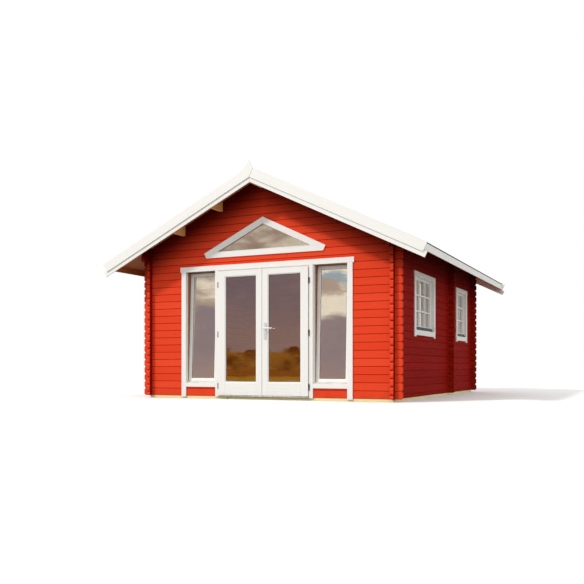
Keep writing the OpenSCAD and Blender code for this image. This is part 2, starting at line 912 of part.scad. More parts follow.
module window_pane(y, w) {
    y0 = face_y + y + win_trim + win_stile;
    y1 = face_y + y + w - win_trim - win_stile;
    z0 = beam_h + win_z + win_leg + win_trim + flash_h + win_rail;
    z1 = beam_h + win_top - win_trim - win_rail;
    x = half_w - win_recess - sash_t;
    block([x - glass_t, y0, z0], [x, y1, z1]);
}

// Sloping flashing between a side window's sash and its lower board.
module window_flashing(y, w) {
    z = beam_h + win_z + win_leg + win_trim;
    front = half_w - win_recess;
    y0 = face_y + y + win_trim;
    along_y(y0, y0 + w - 2 * win_trim)
        polygon([[front, z], [half_w, z], [half_w, z + flash_lip], [front, z + flash_h]]);
}

// The same under the right sidelight.
module sidelight_flashing() {
    z = sidelight_low;
    along_x(post_out + lining_t, rough_half - lining_t)
        polygon([[face_y, z], [sash_y, z], [sash_y, z + flash_h], [face_y, z + flash_lip]]);
}

module window_flashings() color("darkslategray") {
    window_flashing(win1_y, win1_w);
    window_flashing(win2_y, win2_w);
    sidelight_flashing();
    mirror([1, 0, 0]) sidelight_flashing();
}

// Boards round one side window: the head board laps over the side boards.
module window_trim(y, w) {
    y0 = face_y + y;
    z0 = beam_h + win_z;
    z1 = beam_h + win_top;
    x0 = half_w;
    x1 = half_w + trim_t;
    block([x0, y0 - head_ear / 2, z1 - win_trim], [x1, y0 + w + head_ear / 2, z1]);
    for (s = [y0, y0 + w - win_trim])
        block([x0, s, z0], [x1, s + win_trim, z1 - win_trim]);
    block([x0, y0 + win_trim, z0 + win_leg], [x1, y0 + w - win_trim, z0 + win_leg + win_trim]);
}

module side_window_frames() color(paint_white) {
    window_frame(win1_y, win1_w, 3);
    window_frame(win2_y, win2_w, 2);
}

module side_window_glass() color("slategray") {
    window_pane(win1_y, win1_w);
    window_pane(win2_y, win2_w);
}

module side_window_trim() color(paint_white) {
    window_trim(win1_y, win1_w);
    window_trim(win2_y, win2_w);
}

foundation_beams();
floor_boards();
front_wall_left();
front_wall_right();
front_wall_sills();
front_gable();
left_wall();
right_wall();
back_wall();
back_gable();
partition_left();
partition_right();
partition_gable();
ridge_purlin();
side_purlins();
roof_boards_left();
roof_boards_right();
roof_felt();
front_barge_boards();
front_inner_barges();
back_barge_boards();
back_inner_barges();
eaves_boards();
door_frame();
door_threshold();
left_door();
right_door();
left_door_glass();
right_door_glass();
frame_hinges();
left_door_hinges();
right_door_hinges();
door_plates();
door_lever();
sidelight_frames();
sidelight_sashes();
sidelight_glass();
front_trim();
gable_window_frame();
gable_window_glass();
gable_window_trim();
side_window_frames();
side_window_glass();
side_window_trim();
window_flashings();
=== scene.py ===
import math
import random

import bmesh
import bpy
from mathutils import Matrix, Vector


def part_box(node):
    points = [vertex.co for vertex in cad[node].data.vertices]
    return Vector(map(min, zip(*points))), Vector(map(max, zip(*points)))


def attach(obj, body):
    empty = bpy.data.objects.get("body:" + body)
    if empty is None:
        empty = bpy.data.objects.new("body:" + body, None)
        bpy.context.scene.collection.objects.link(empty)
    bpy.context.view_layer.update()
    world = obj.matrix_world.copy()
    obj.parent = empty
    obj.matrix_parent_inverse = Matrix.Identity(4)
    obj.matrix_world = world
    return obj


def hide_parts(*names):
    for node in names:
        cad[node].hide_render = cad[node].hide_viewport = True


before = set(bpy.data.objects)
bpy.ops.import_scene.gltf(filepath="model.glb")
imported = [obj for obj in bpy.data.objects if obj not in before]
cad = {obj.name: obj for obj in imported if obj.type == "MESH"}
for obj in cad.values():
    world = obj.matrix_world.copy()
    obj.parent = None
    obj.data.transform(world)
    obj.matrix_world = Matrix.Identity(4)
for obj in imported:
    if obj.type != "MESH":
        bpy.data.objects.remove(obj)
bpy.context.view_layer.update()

# ------ The view
# A level camera held low in front of the right corner, with a little rise
# of the lens so that the upright edges of the cabin stay upright.
scene = bpy.context.scene


def stood(name, data):
    """A new object in the scene."""
    made = bpy.data.objects.new(name, data)
    scene.collection.objects.link(made)
    return made


camera = stood("camera", bpy.data.cameras.new("camera"))
camera.data.lens = 47.15
camera.data.shift_y = 0.1281
camera.location = (5.2445, -12.625, 0.492)
camera.rotation_euler = (math.radians(90), 0, math.radians(25.14))
scene.camera = camera

# ------ Foundation beams
# Pressure-treated beams lie on the ground under every wall, with joists
# between them. They are sawn timber, left bare and still pale yellow.
def colour(r, g, b):
    """A finish as it looks in daylight, for a shader's colour socket."""
    flat = [c / 255 for c in (r, g, b)]
    return [c / 12.92 if c <= 0.04045 else ((c + 0.055) / 1.055) ** 2.4 for c in flat] + [1]


class Nodes:
    """Builds the node tree of a material, a group or the world."""

    def __init__(self, tree):
        self.tree = tree

    def link(self, value, socket):
        self.tree.links.new(value, socket)

    def node(self, kind, inputs=None, **settings):
        made = self.tree.nodes.new("ShaderNode" + kind)
        for name, value in settings.items():
            setattr(made, name, value)
        for name, value in (inputs or {}).items():
            if isinstance(value, bpy.types.NodeSocket):
                self.link(value, made.inputs[name])
            else:
                made.inputs[name].default_value = value
        return made

    def group(self, group, inputs):
        return self.node("Group", inputs, node_tree=group.tree).outputs

    def math(self, operation, a, b=0.0):
        return self.node("Math", {0: a, 1: b}, operation=operation).outputs[0]

    def plus(self, a, b):
        return self.math("ADD", a, b)

    def minus(self, a, b):
        return self.math("SUBTRACT", a, b)

    def times(self, a, b):
        return self.math("MULTIPLY", a, b)

    def size(self, a):
        """A value without its sign."""
        return self.math("ABSOLUTE", a)

    def ramp(self, value, low, high, to_low=0.0, to_high=1.0):
        """A value between low and high, spread smoothly over to_low to to_high."""
        return self.node("MapRange", {"Value": value, "From Min": low, "From Max": high,
                         "To Min": to_low, "To Max": to_high},
                         interpolation_type="SMOOTHSTEP").outputs["Result"]

    def mix(self, factor, a, b):
        return self.node("Mix", {0: factor, 6: a, 7: b}, data_type="RGBA").outputs[2]

    def stretched(self, vector, x, y, z):
        return self.node("Mapping", {"Vector": vector, "Scale": (x, y, z)}).outputs[0]

    def noise(self, vector, scale=1.0, detail=2.0, roughness=0.5):
        return self.node("TexNoise", {"Vector": vector, "Scale": scale, "Detail": detail,
                         "Roughness": roughness}).outputs["Fac"]

    def split(self, vector):
        return self.node("SeparateXYZ", {0: vector}).outputs

    def place(self):
        """Where a point lies on the whole cabin, in metres."""
        return self.node("TexCoord").outputs["Object"]

    def grain(self):
        """Where a point lies on its own board, in metres, X along the grain."""
        return self.node("Attribute", attribute_name="grain").outputs["Vector"]

    def bump(self, bsdf, height, strength, distance):
        self.link(self.node("Bump", {"Height": height, "Strength": strength,
                  "Distance": distance}).outputs[0], bsdf["Normal"])


def new_group(name, inputs, outputs):
    """A shader node group with sockets made from (name, kind, value) rows."""
    tree = bpy.data.node_groups.new(name, "ShaderNodeTree")
    for label, kind, value in inputs:
        made = tree.interface.new_socket(label, in_out="INPUT", socket_type="NodeSocket" + kind)
        if value is not None:
            made.default_value = value
    for label, kind in outputs:
        tree.interface.new_socket(label, in_out="OUTPUT", socket_type="NodeSocket" + kind)
    return (Nodes(tree), tree.nodes.new("NodeGroupInput").outputs,
            tree.nodes.new("NodeGroupOutput").inputs)


def new_material(name):
    made = bpy.data.materials.new(name)
    made.use_nodes = True
    return made, Nodes(made.node_tree), made.node_tree.nodes["Principled BSDF"].inputs


# Softwood cut along the trunk: X of the vector runs along the grain, in
# metres. Growth rings, fine fibres, and knots where branches stood.
wood_grain, g_in, g_out = new_group(
    "wood grain",
    [("Vector", "Vector", None), ("Ring Width", "Float", 0.006), ("Knot Share", "Float", 0.3)],
    [("Rings", "Float"), ("Fibres", "Float"), ("Knots", "Float"), ("Height", "Float")])
t = wood_grain
drift = t.noise(t.stretched(g_in["Vector"], 0.9, 6, 6), detail=3.0)
cell = t.node("TexVoronoi", {"Vector": t.stretched(g_in["Vector"], 3.2, 7, 7), "Scale": 1.0})
drawn = t.node("SeparateColor", {0: cell.outputs["Color"]}).outputs[0]
chosen = t.math("LESS_THAN", drawn, g_in["Knot Share"])
knot_near = t.times(t.ramp(cell.outputs["Distance"], 0.3, 0.05), chosen)
split = t.split(g_in["Vector"])
across = t.math("SQRT", t.plus(t.math("POWER", split[1], 2.0), t.math("POWER", split[2], 2.0)))
swung = t.plus(t.plus(across, t.times(drift, 0.05)), t.times(knot_near, 0.012))
turns = t.times(t.math("DIVIDE", swung, g_in["Ring Width"]), 2 * math.pi)
rings = t.ramp(t.math("SINE", turns), -0.6, 1.0)
fibres = t.noise(t.stretched(g_in["Vector"], 6, 260, 260), detail=4.0, roughness=0.65)
knots = t.times(t.ramp(cell.outputs["Distance"], 0.12, 0.06), chosen)
t.link(rings, g_out["Rings"])
t.link(fibres, g_out["Fibres"])
t.link(knots, g_out["Knots"])
height = t.plus(t.times(rings, 0.5), fibres)
t.link(t.minus(height, t.times(knots, 0.6)), g_out["Height"])


def bare_wood(name, light, dark, knot, rough):
    """Unpainted timber, from its light early wood to its dark late wood."""
    made, t, bsdf = new_material(name)
    vector = t.grain()
    out = t.group(wood_grain, {"Vector": vector})
    tone = t.noise(t.stretched(vector, 0.25, 2, 2))
    body = t.mix(t.ramp(tone, 0.3, 0.7, 0.0, 0.45), light, dark)
    body = t.mix(t.times(out["Rings"], 0.45), body, dark)
    body = t.mix(t.ramp(out["Fibres"], 0.45, 0.8, 0.0, 0.35), body, dark)
    t.link(t.mix(out["Knots"], body, knot), bsdf["Base Color"])
    t.link(t.ramp(out["Fibres"], 0.2, 0.8, rough - 0.08, rough + 0.1), bsdf["Roughness"])
    t.bump(bsdf, out["Height"], 0.5, 0.0012)
    return made


random.seed(11)
X, Y, Z = Vector((1, 0, 0)), Vector((0, 1, 0)), Vector((0, 0, 1))


class Joinery:
    """Gathers cut, mitred and turned parts, with eased edges, into one mesh."""

    def __init__(self):
        self.points, self.faces, self.grain = [], [], []

    def solid(self, sections, place, ease, swing):
        """Joins like sections, one after another, into one closed part. swing
        turns its own coordinates so that the grain runs along X."""
        part = bmesh.new()
        rings = [[part.verts.new(point) for point in section] for section in sections]
        part.faces.new(rings[0][::-1])
        part.faces.new(rings[-1])
        for ring, after in zip(rings, rings[1:]):
            for i, corner in enumerate(ring):
                j = (i + 1) % len(ring)
                part.faces.new((corner, ring[j], after[j], after[i]))
        bmesh.ops.recalc_face_normals(part, faces=part.faces[:])
        if ease:
            bmesh.ops.bevel(part, geom=part.edges[:], offset=ease, segments=2,
                            profile=0.5, affect="EDGES", clamp_overlap=True)
        self.add(part, place, swing)

    def add(self, part, place, swing):
        start = Vector((random.uniform(0, 40), random.uniform(-0.08, 0.08),
                        random.uniform(-0.08, 0.08)))
        first = len(self.points)
        part.verts.index_update()
        for v in part.verts:
            self.grain.append(swing @ v.co + start)
            self.points.append(place @ v.co)
        for face in part.faces:
            self.faces.append([first + v.index for v in face.verts])
        part.free()

    def cut(self, outline, depth, place, ease=0.002, along="x", turn=0.0):
        """A board with that outline, depth thick. The grain runs along the
        outline's x, turned by turn, or along the depth."""
        swing = Matrix.Rotation(-turn, 3, "Z")
        if along == "depth":
            swing = Matrix(((0, 0, 1), (1, 0, 0), (0, 1, 0)))
        self.solid([[(x, y, z) for x, y in outline] for z in (0, depth)], place, ease, swing)

    def bored(self, outline, centre, radius, depth, place, ease=0.001):
        """A board or plate with a round hole, its grain along the outline's y."""
        part = bmesh.new()
        hole = [(centre[0] + radius * math.cos(i * math.pi / 12),
                 centre[1] + radius * math.sin(i * math.pi / 12)) for i in range(24)]
        rims = []
        for loop in (outline, hole):
            ring = [part.verts.new((x, y, 0)) for x, y in loop]
            rims += [part.edges.new(pair) for pair in zip(ring, ring[1:] + ring[:1])]
        bmesh.ops.triangle_fill(part, edges=rims, use_beauty=True)
        raised = bmesh.ops.extrude_face_region(part, geom=part.faces[:])["geom"]
        bmesh.ops.translate(part, vec=(0, 0, depth),
                            verts=[v for v in raised if isinstance(v, bmesh.types.BMVert)])
        bmesh.ops.recalc_face_normals(part, faces=part.faces[:])
        sharp = [edge for edge in part.edges if edge.calc_face_angle(0.0) > 0.9]
        bmesh.ops.bevel(part, geom=sharp, offset=ease, segments=2, profile=0.5,
                        affect="EDGES", clamp_overlap=True)
        self.add(part, place, Matrix.Rotation(-math.pi / 2, 3, "Z"))

    def mitred(self, corners, profile, place, ease=0.001):
        """A ring of boards that meet in mitres. corners gives the ring's
        corners at an offset; profile is the section in offset and depth."""
        count = len(corners(0))
        rows = [[(*corners(offset)[i], depth) for offset, depth in profile] for i in range(count)]
        for here, after in zip(rows, rows[1:] + rows[:1]):
            run = Vector(after[0]) - Vector(here[0])
            self.solid([here, after], place, ease,
                       Matrix.Rotation(-math.atan2(run.y, run.x), 3, "Z"))

    def turned(self, profile, place, steps=20):
        """A round part turned to (radius, height) steps."""
        turns = [i * 2 * math.pi / steps for i in range(steps)]
        self.solid([[(r * math.cos(a), r * math.sin(a), h) for a in turns] for r, h in profile],
                   place, 0, Matrix.Identity(3))

    def board(self, low, high, along, ease=0.002):
        """A straight board between two corners, its grain along X, Y or Z."""
        a = "XYZ".index(along)
        b, c = (a + 1) % 3, (a + 2) % 3
        size = [abs(high[i] - low[i]) for i in range(3)]
        corner = Vector([min(low[i], high[i]) for i in range(3)])
        place = laid(corner, (X, Y, Z)[a], (X, Y, Z)[b])
        self.cut(oblong(0, 0, size[a], size[b]), size[c], place,
                 min(ease, size[b] / 4, size[c] / 4))

    def piece(self, name, material, slot, *replaced, body="cabin"):
        mesh = bpy.data.meshes.new(name)
        mesh.from_pydata(self.points, [], self.faces)
        own = mesh.attributes.new("grain", "FLOAT_VECTOR", "POINT")
        own.data.foreach_set("vector", [c for v in self.grain for c in v])
        mesh.polygons.foreach_set("use_smooth", [True] * len(mesh.polygons))
        mesh.materials.append(material)
        made = stood(name, mesh)
        made.modifiers.new("flat faces stay flat", "WEIGHTED_NORMAL")
        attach(made, body)
        if replaced:
            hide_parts(*replaced)
        return made


def laid(origin, along, across):
    """The place of a board whose own x and y run in those two directions."""
    up = along.cross(across)
    rows = [(along[i], across[i], up[i], origin[i]) for i in range(3)]
    return Matrix(rows + [(0, 0, 0, 1)])


def oblong(x0, y0, x1, y1):
    """The outline of a plain board."""
    return [(x0, y0), (x1, y0), (x1, y1), (x0, y1)]


beam_low, beam_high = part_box("foundation_beams")
part_low, part_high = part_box("partition_left")
beam_w = 0.06
joist_n = 9
treated = bare_wood("treated timber", colour(250, 238, 184), colour(232, 216, 152),
                    colour(140, 104, 62), 0.8)
beams = Joinery()
for x in (beam_low.x, beam_high.x - beam_w):
    beams.board((x, beam_low.y, beam_low.z), (x + beam_w, beam_high.y, beam_high.z), "Y", 0.003)
step = (beam_high.y - beam_low.y - beam_w) / joist_n
for y in [beam_low.y + i * step for i in range(joist_n + 1)] + [part_low.y]:
    beams.board((beam_low.x + beam_w, y, beam_low.z),
                (beam_high.x - beam_w, y + beam_w, beam_high.z), "X", 0.003)
beams.piece("foundation_timbers", treated, "treated_wood", "foundation_beams")

# ------ Floor
# Planed pine boards, tongued together and laid front to back on the joists
# in both rooms. A small bevel shows at every joint.
floor_low, floor_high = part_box("floor_boards")
floor_board_w = 0.12
floor_gap, floor_joint = 0.002, 0.0008
pine = bare_wood("planed pine", colour(216, 170, 118), colour(178, 122, 72),
                 colour(104, 60, 30), 0.55)
post_low, post_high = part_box("door_frame")
post_w = 0.061
floor = Joinery()
boards_n = round((floor_high.x - floor_low.x) / floor_board_w)
board_w = (floor_high.x - floor_low.x) / boards_n
posts = [(side * (post_high.x - post_w / 2) - post_w / 2 - floor_gap,
          side * (post_high.x - post_w / 2) + post_w / 2 + floor_gap) for side in (-1, 1)]
for y0, y1 in ((floor_low.y, part_low.y - floor_gap), (part_high.y + floor_gap, floor_high.y)):
    for i in range(boards_n):
        x0 = floor_low.x + i * board_w + floor_joint / 2
        x1 = x0 + board_w - floor_joint
        outline = oblong(x0, y0, x1, y1)
        for left, right in posts:
            if y0 > floor_low.y or right <= x0 or left >= x1:
                continue
            notch = post_high.y + floor_gap
            before = [(x0, y0), (left, y0)] if left > x0 else []
            after = [(right, y0), (x1, y0)] if right < x1 else []
            outline = (before + [(max(left, x0), notch), (min(right, x1), notch)] + after
                       + [(x1, y1), (x0, y1)])
        floor.cut(outline, floor_high.z - floor_low.z,
                  laid(Vector((0, 0, floor_low.z)), X, Y), 0.0025, turn=math.pi / 2)
floor.piece("floor_planks", pine, "bare_pine", "floor_boards")

# ------ Log walls
# Machined logs with bevelled edges, stacked and notched into each other at
# the corners. Outside they are brushed red; inside they stay bare pine.
wall_low, wall_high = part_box("right_wall")
front_low, front_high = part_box("front_wall_left")
sill_courses, paint_reach = 1.5, 0.002
log_h = (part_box("front_wall_sills")[1].z - beam_high.z) / sill_courses
apex_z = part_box("ridge_purlin")[1].z
roof_angle = math.radians(25.8)
slope = math.tan(roof_angle)

log_courses, g_in, g_out = new_group(
    "log courses",
    [("Position", "Vector", None), ("Runs Along Y", "Float", 0.0), ("Half Course", "Float", 0.0),
     ("Wall Bottom", "Float", beam_high.z), ("Log Height", "Float", log_h)],
    [("Grain", "Vector"), ("Joint", "Float"), ("Tone", "Float"), ("Brush", "Float")])
t = log_courses
split = t.split(g_in["Position"])
above = t.minus(split[2], g_in["Wall Bottom"])
course = t.plus(t.math("DIVIDE", above, g_in["Log Height"]), g_in["Half Course"])
number = t.math("FLOOR", course)
in_course = t.math("FRACT", course)
from_joint = t.math("MINIMUM", in_course, t.minus(1.0, in_course))
t.link(t.ramp(from_joint, 0.07, 0.0), g_out["Joint"])
tone = t.node("TexWhiteNoise", {"W": number}, noise_dimensions="1D").outputs["Value"]
t.link(tone, g_out["Tone"])
length = t.node("Mix", {0: g_in["Runs Along Y"], 2: split[0], 3: split[1]}).outputs[0]
depth = t.node("Mix", {0: g_in["Runs Along Y"], 2: split[1], 3: split[0]}).outputs[0]
length = t.plus(length, t.times(number, 7.31))
grain = t.node("CombineXYZ", {0: length, 1: depth, 2: split[2]}).outputs[0]
t.link(grain, g_out["Grain"])
brush = t.noise(t.stretched(grain, 2.5, 40, 90), detail=3.0)
t.link(brush, g_out["Brush"])

# Splash and dust: strongest near the ground, broken up by noise.
ground_dirt, g_in, g_out = new_group(
    "ground dirt",
    [("Position", "Vector", None), ("Reach", "Float", 0.3)], [("Dirt", "Float")])
t = ground_dirt
fade = t.ramp(t.split(g_in["Position"])[2], g_in["Reach"], 0.0)
speckle = t.noise(g_in["Position"], 9.0, 5.0)
t.link(t.times(fade, t.ramp(speckle, 0.35, 0.75)), g_out["Dirt"])


def log_paint(name, along_y):
    """Red on the outside of the logs, darkened towards the roof by painted
    shade; bare pine on the inside."""
    made, t, bsdf = new_material(name)
    place = t.place()
    log = t.group(log_courses, {"Position": place, "Runs Along Y": float(along_y),
                                "Half Course": 0.5 * along_y})
    wood = t.group(wood_grain, {"Vector": log["Grain"], "Knot Share": 0.4})
    x, y, z = t.split(place)
    # For the side walls the same red is written deeper: painted shade of walls that face away
    # from the light.
    fresh, worn = ((colour(240, 78, 46), colour(232, 68, 38)),
                   (colour(160, 21, 11), colour(149, 17, 8)))[along_y]
    red = t.mix(log["Tone"], fresh, worn)
    if along_y:
        # Painted highlight: the side logs' ends, facing front and back, are written brighter red,
        # as if sunlit.
        facing_y = t.size(t.split(t.node("NewGeometry").outputs["Normal"])[1])
        end = t.math("GREATER_THAN", facing_y, 0.5)
        red = t.mix(end, red, colour(244, 80, 48))
    else:
        # Painted shade: the logs' ends beyond the side walls, behind the front face, are written
        # dark red.
        outer = t.math("GREATER_THAN", t.size(x), wall_high.x + paint_reach)
        behind = t.math("GREATER_THAN", y, front_high.y + paint_reach)
        red = t.mix(t.times(outer, behind), red, colour(143, 20, 9))
    red = t.mix(t.ramp(log["Brush"], 0.35, 0.7, 0.0, 0.4), red, worn)
    red = t.mix(t.times(wood["Knots"], 0.2), red, colour(150, 30, 18))
    dirt = t.group(ground_dirt, {"Position": place, "Reach": 0.32})
    red = t.mix(t.times(dirt["Dirt"], 0.2), red, colour(120, 60, 40))
    # Dark joints between the logs: grime, and painted shade in the grooves.
    red = t.mix(t.times(log["Joint"], 0.8), red, colour(118, 8, 4))
    # Painted shade: within 0.66 m below the roof line the red darkens almost to black, as where
    # the roof shades the walls.
    under_roof = t.minus(t.minus(apex_z, t.times(t.size(x), slope)), z)
    red = t.mix(t.ramp(under_roof, 0.66, 0.04, 0.0, 0.96), red, colour(72, 5, 3))
    pale = t.mix(t.times(wood["Rings"], 0.5), colour(222, 180, 130), colour(190, 138, 86))
    pale = t.mix(t.times(wood["Knots"], 0.9), pale, colour(120, 70, 38))
    # The same joint darkening on the bare inside: grime and painted shade.
    pale = t.mix(t.times(log["Joint"], 0.5), pale, colour(110, 70, 40))
    inside = t.times(t.math("LESS_THAN", t.size(x), wall_low.x + paint_reach),
                     t.math("LESS_THAN", t.size(y), paint_reach - front_high.y))
    t.link(t.mix(inside, red, pale), bsdf["Base Color"])
    t.link(t.ramp(log["Brush"], 0.3, 0.75, 0.62, 0.8), bsdf["Roughness"])
    t.bump(bsdf, t.plus(t.times(wood["Height"], 0.5), log["Brush"]), 0.45, 0.0015)
    bsdf["Specular IOR Level"].default_value = 0.03
    return made


across_logs = log_paint("red logs across", 0)
shade_painted_side_logs = log_paint("red logs front to back, shade painted", 1)


def finish(material, *names):
    """Gives CAD nodes their real finish."""
    for name in names:
        for slot in cad[name].material_slots:
            slot.material = material


finish(across_logs, "front_wall_left", "front_wall_right", "front_wall_sills", "front_gable",
       "back_wall", "back_gable", "partition_left", "partition_right", "partition_gable")
finish(shade_painted_side_logs, "left_wall", "right_wall")

# ------ Purlins
# Planed pine beams that run through the gables and carry the roof. The
# ends stop behind the inner barge boards.
ridge_low, ridge_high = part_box("ridge_purlin")
purlin_x, purlin_w, purlin_h = (0.695, 1.373), 0.058, 0.148


def roof_z(x):
    """How high the purlins' tops lie."""
    return apex_z - abs(x) * slope


def mirrored(outline, side=-1):
    """The same outline on that side of the middle."""
    return [(side * x, z) for x, z in outline]


def facing(y):
    """The place of a board that stands at y, its thickness towards the front."""
    return laid(Vector((0, y, 0)), X, Z)


purlin_pine = bare_wood("purlin pine", colour(255, 212, 140), colour(250, 184, 104),
                        colour(120, 64, 30), 0.6)
purlins = Joinery()
run = ridge_high.y - ridge_low.y
run_from = facing(ridge_high.y)
half = ridge_high.x
sections = [[(-half, ridge_low.z), (half, ridge_low.z), (half, roof_z(half)), (0, apex_z),
             (-half, roof_z(half))]]
for x in purlin_x:
    low = roof_z(x) - purlin_h
    section = [(x, low), (x + purlin_w, low), (x + purlin_w, roof_z(x + purlin_w)),
               (x, roof_z(x))]
    sections += [section, mirrored(section[::-1])]
for section in sections:
    purlins.cut(section, run, run_from, 0.003, along="depth")
purlins.piece("roof_purlins", purlin_pine, "bare_pine", "ridge_purlin", "side_purlins")

# ------ Roof boards
# Tongued boards nailed across the purlins from ridge to eaves. From below
# their joints show as fine grooves that run down the slope.
deck_low, deck_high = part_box("roof_boards_right")
eaves_pine = bare_wood("roof pine", colour(208, 134, 72), colour(168, 92, 44),
                       colour(92, 50, 24), 0.6)
deck_t, deck_joint = 0.019, 0.0006
deck_board_w = 0.111
deck_reach = deck_high.x / math.cos(roof_angle)
deck_n = round((deck_high.y - deck_low.y) / deck_board_w)
deck_w = (deck_high.y - deck_low.y) / deck_n
lean = deck_t * slope
deck_outline = [(0, 0), (deck_reach, 0), (deck_reach - lean, deck_t), (-lean, deck_t)]


def slope_place(side, y):
    """On one slope: x runs down from the ridge, y away from the boards."""
    down = Vector((side * math.cos(roof_angle), 0, -math.sin(roof_angle)))
    out = Vector((side * math.sin(roof_angle), 0, math.cos(roof_angle)))
    return laid(Vector((0, y, apex_z)), down, out)


for side, name in ((-1, "left"), (1, "right")):
    deck = Joinery()
    for i in range(deck_n):
        y = deck_low.y + (i + (side > 0)) * deck_w - side * deck_joint / 2
        deck.cut(deck_outline, deck_w - deck_joint, slope_place(side, y), 0.0025)
    deck.piece("roof_planks_" + name, eaves_pine, "bare_pine", "roof_boards_" + name)

# ------ Roofing felt
# Mineral felt in three overlapping courses on each slope, with a strip
# over the ridge. Along the eaves it is folded down over the fascia.
felt_low, felt_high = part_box("roof_felt")
felt_t, felt_lap, felt_fold = 0.002, 0.09, 0.016
felt_inset, felt_clear = 0.012, 0.0005
cap_w, cap_past = 0.17, 0.01
felt_reach = felt_high.x / math.cos(roof_angle) - felt_inset
felt_run = felt_high.y - felt_low.y
made, t, bsdf = new_material("mineral felt")
place = t.grain()
stone = t.node("TexVoronoi", {"Vector": place, "Scale": 420.0})
patch = t.noise(place, 2.2, 6.0)
grit = t.node("SeparateColor", {0: stone.outputs["Color"]}).outputs[0]
dark = t.mix(t.ramp(patch, 0.35, 0.7), colour(66, 67, 68), colour(84, 84, 82))
t.link(t.mix(t.ramp(grit, 0.55, 1.0, 0.0, 0.6), dark, colour(126, 126, 122)),
       bsdf["Base Color"])
t.link(t.ramp(grit, 0.0, 1.0, 0.78, 0.98), bsdf["Roughness"])
t.bump(bsdf, t.minus(patch, t.times(stone.outputs["Distance"], 0.8)), 0.5, 0.0015)
felt = Joinery()
courses_n = 3
course_w = felt_reach / courses_n
fascia_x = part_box("eaves_boards")[1].x
drip_top = roof_z(fascia_x) + (deck_t + felt_t) / math.cos(roof_angle)
drip_in, drip_out = fascia_x + felt_clear, fascia_x + felt_clear + felt_t
for side in (-1, 1):
    on_roof = slope_place(side, side * felt_run / 2)
    for i in range(courses_n):
        top = max(i * course_w - felt_lap, felt_inset)
        end = (i + 1) * course_w
        rise = felt_t if i < courses_n - 1 else 0.0
        outline = [(top, deck_t), (end, deck_t + rise), (end, deck_t + rise + felt_t),
                   (top, deck_t + felt_t)]
        felt.cut(outline, felt_run, on_roof, 0.0005, along="depth")
    cap = oblong(-cap_past, deck_t + felt_t, cap_w, deck_t + 2 * felt_t)
    felt.cut(cap, felt_run, on_roof, 0.0005, along="depth")
    drip = oblong(drip_in, drip_top - felt_fold, drip_out, drip_top)
    felt.cut(mirrored(drip, side), felt_run, facing(felt_high.y), 0.0004, along="depth")
felt.piece("felt_courses", made, "roof_felt", "roof_felt")

# ------ Barge and eaves boards
# White boards close the roof: a wide one over a narrower inner one along
# each gable, with a pointed horn at the ridge, and one along each eaves.
white, t, bsdf = new_material("white paint")
grain = t.grain()
place = t.place()
wood = t.group(wood_grain, {"Vector": grain})
brush = t.noise(t.stretched(grain, 2, 50, 50), detail=3.0)
body = t.mix(t.ramp(brush, 0.35, 0.75, 0.0, 0.7), colour(247, 246, 243), colour(241, 239, 234))
body = t.mix(t.times(wood["Knots"], 0.12), body, colour(214, 190, 150))
dirt = t.group(ground_dirt, {"Position": place, "Reach": 0.2})
body = t.mix(t.times(dirt["Dirt"], 0.14), body, colour(176, 160, 136))
t.link(body, bsdf["Base Color"])
t.link(t.ramp(brush, 0.3, 0.8, 0.4, 0.55), bsdf["Roughness"])
t.bump(bsdf, t.plus(t.times(wood["Height"], 0.4), brush), 0.35, 0.0012)
barge_low, barge_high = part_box("front_barge_boards")
barge_t = barge_high.y - barge_low.y
barge_w, barge_step, barge_past = 0.143, 0.060, 0.051
barge_n = 0.029
horn_h, horn_run, horn_tip, sweep_n = 0.096, 0.19, 0.016, 8
barge_joint, ridge_joint = 0.0005, 0.005


def on_slope(s, n):
    """A point s down the right slope from the ridge and n out of it."""
    return (s * math.cos(roof_angle) + n * math.sin(roof_angle),
            apex_z - s * math.sin(roof_angle) + n * math.cos(roof_angle))


low_n = barge_n - barge_w
start = -low_n * slope
end = (barge_high.x - barge_n * math.sin(roof_angle)) / math.cos(roof_angle)
right_board = [on_slope(start, low_n), on_slope(end, low_n), on_slope(end, barge_n),
               on_slope(start, barge_n)]
edge_0 = apex_z + barge_n / math.cos(roof_angle)
bend = horn_tip + (horn_run - horn_tip) / 5
corners = [(-horn_tip, edge_0 + horn_h), (-bend, edge_0 - bend * slope),
           (-horn_run, edge_0 - horn_run * slope)]
sweep = []
for k in (i / sweep_n for i in range(sweep_n + 1)):
    weights = ((1 - k) ** 2, 2 * k * (1 - k), k * k)
    sweep.append(tuple(sum(w * c[j] for w, c in zip(weights, corners)) for j in (0, 1)))
(foot_x, foot_z), (meet_x, meet_z) = right_board[0], right_board[3]
left_board = (mirrored([right_board[1]]) + [(foot_x - ridge_joint, foot_z),
              (meet_x - ridge_joint, meet_z)] + sweep + mirrored([right_board[2]]))
inner_n = low_n - barge_step
eaves_low, eaves_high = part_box("eaves_boards")
eaves_in = eaves_high.x - barge_t
top_n = (eaves_in * math.sin(roof_angle) + (eaves_low.z - apex_z) * math.cos(roof_angle)
         - barge_joint)
inner_board = [(barge_joint, roof_z(barge_joint) + top_n / math.cos(roof_angle)),
               (barge_joint, roof_z(barge_joint) + inner_n / math.cos(roof_angle)),
               on_slope(end + barge_past, inner_n), on_slope(end + barge_past, top_n)]

for turn, name in ((0, "front"), (math.pi, "back")):
    for part, (right, left), layer, ease, node in (
            ("_verge_boards", (right_board, left_board), 1, 0.0025, "_barge_boards"),
            ("_verge_linings", (inner_board[::-1], mirrored(inner_board)), 2, 0.002,
             "_inner_barges")):
        verge = Joinery()
        place = Matrix.Rotation(turn, 4, "Z") @ facing(barge_low.y + layer * barge_t)
        verge.cut(right, barge_t, place, ease, turn=-roof_angle)
        verge.cut(left, barge_t, place, ease, turn=roof_angle)
        verge.piece(name + part, white, "white_paint", name + node)

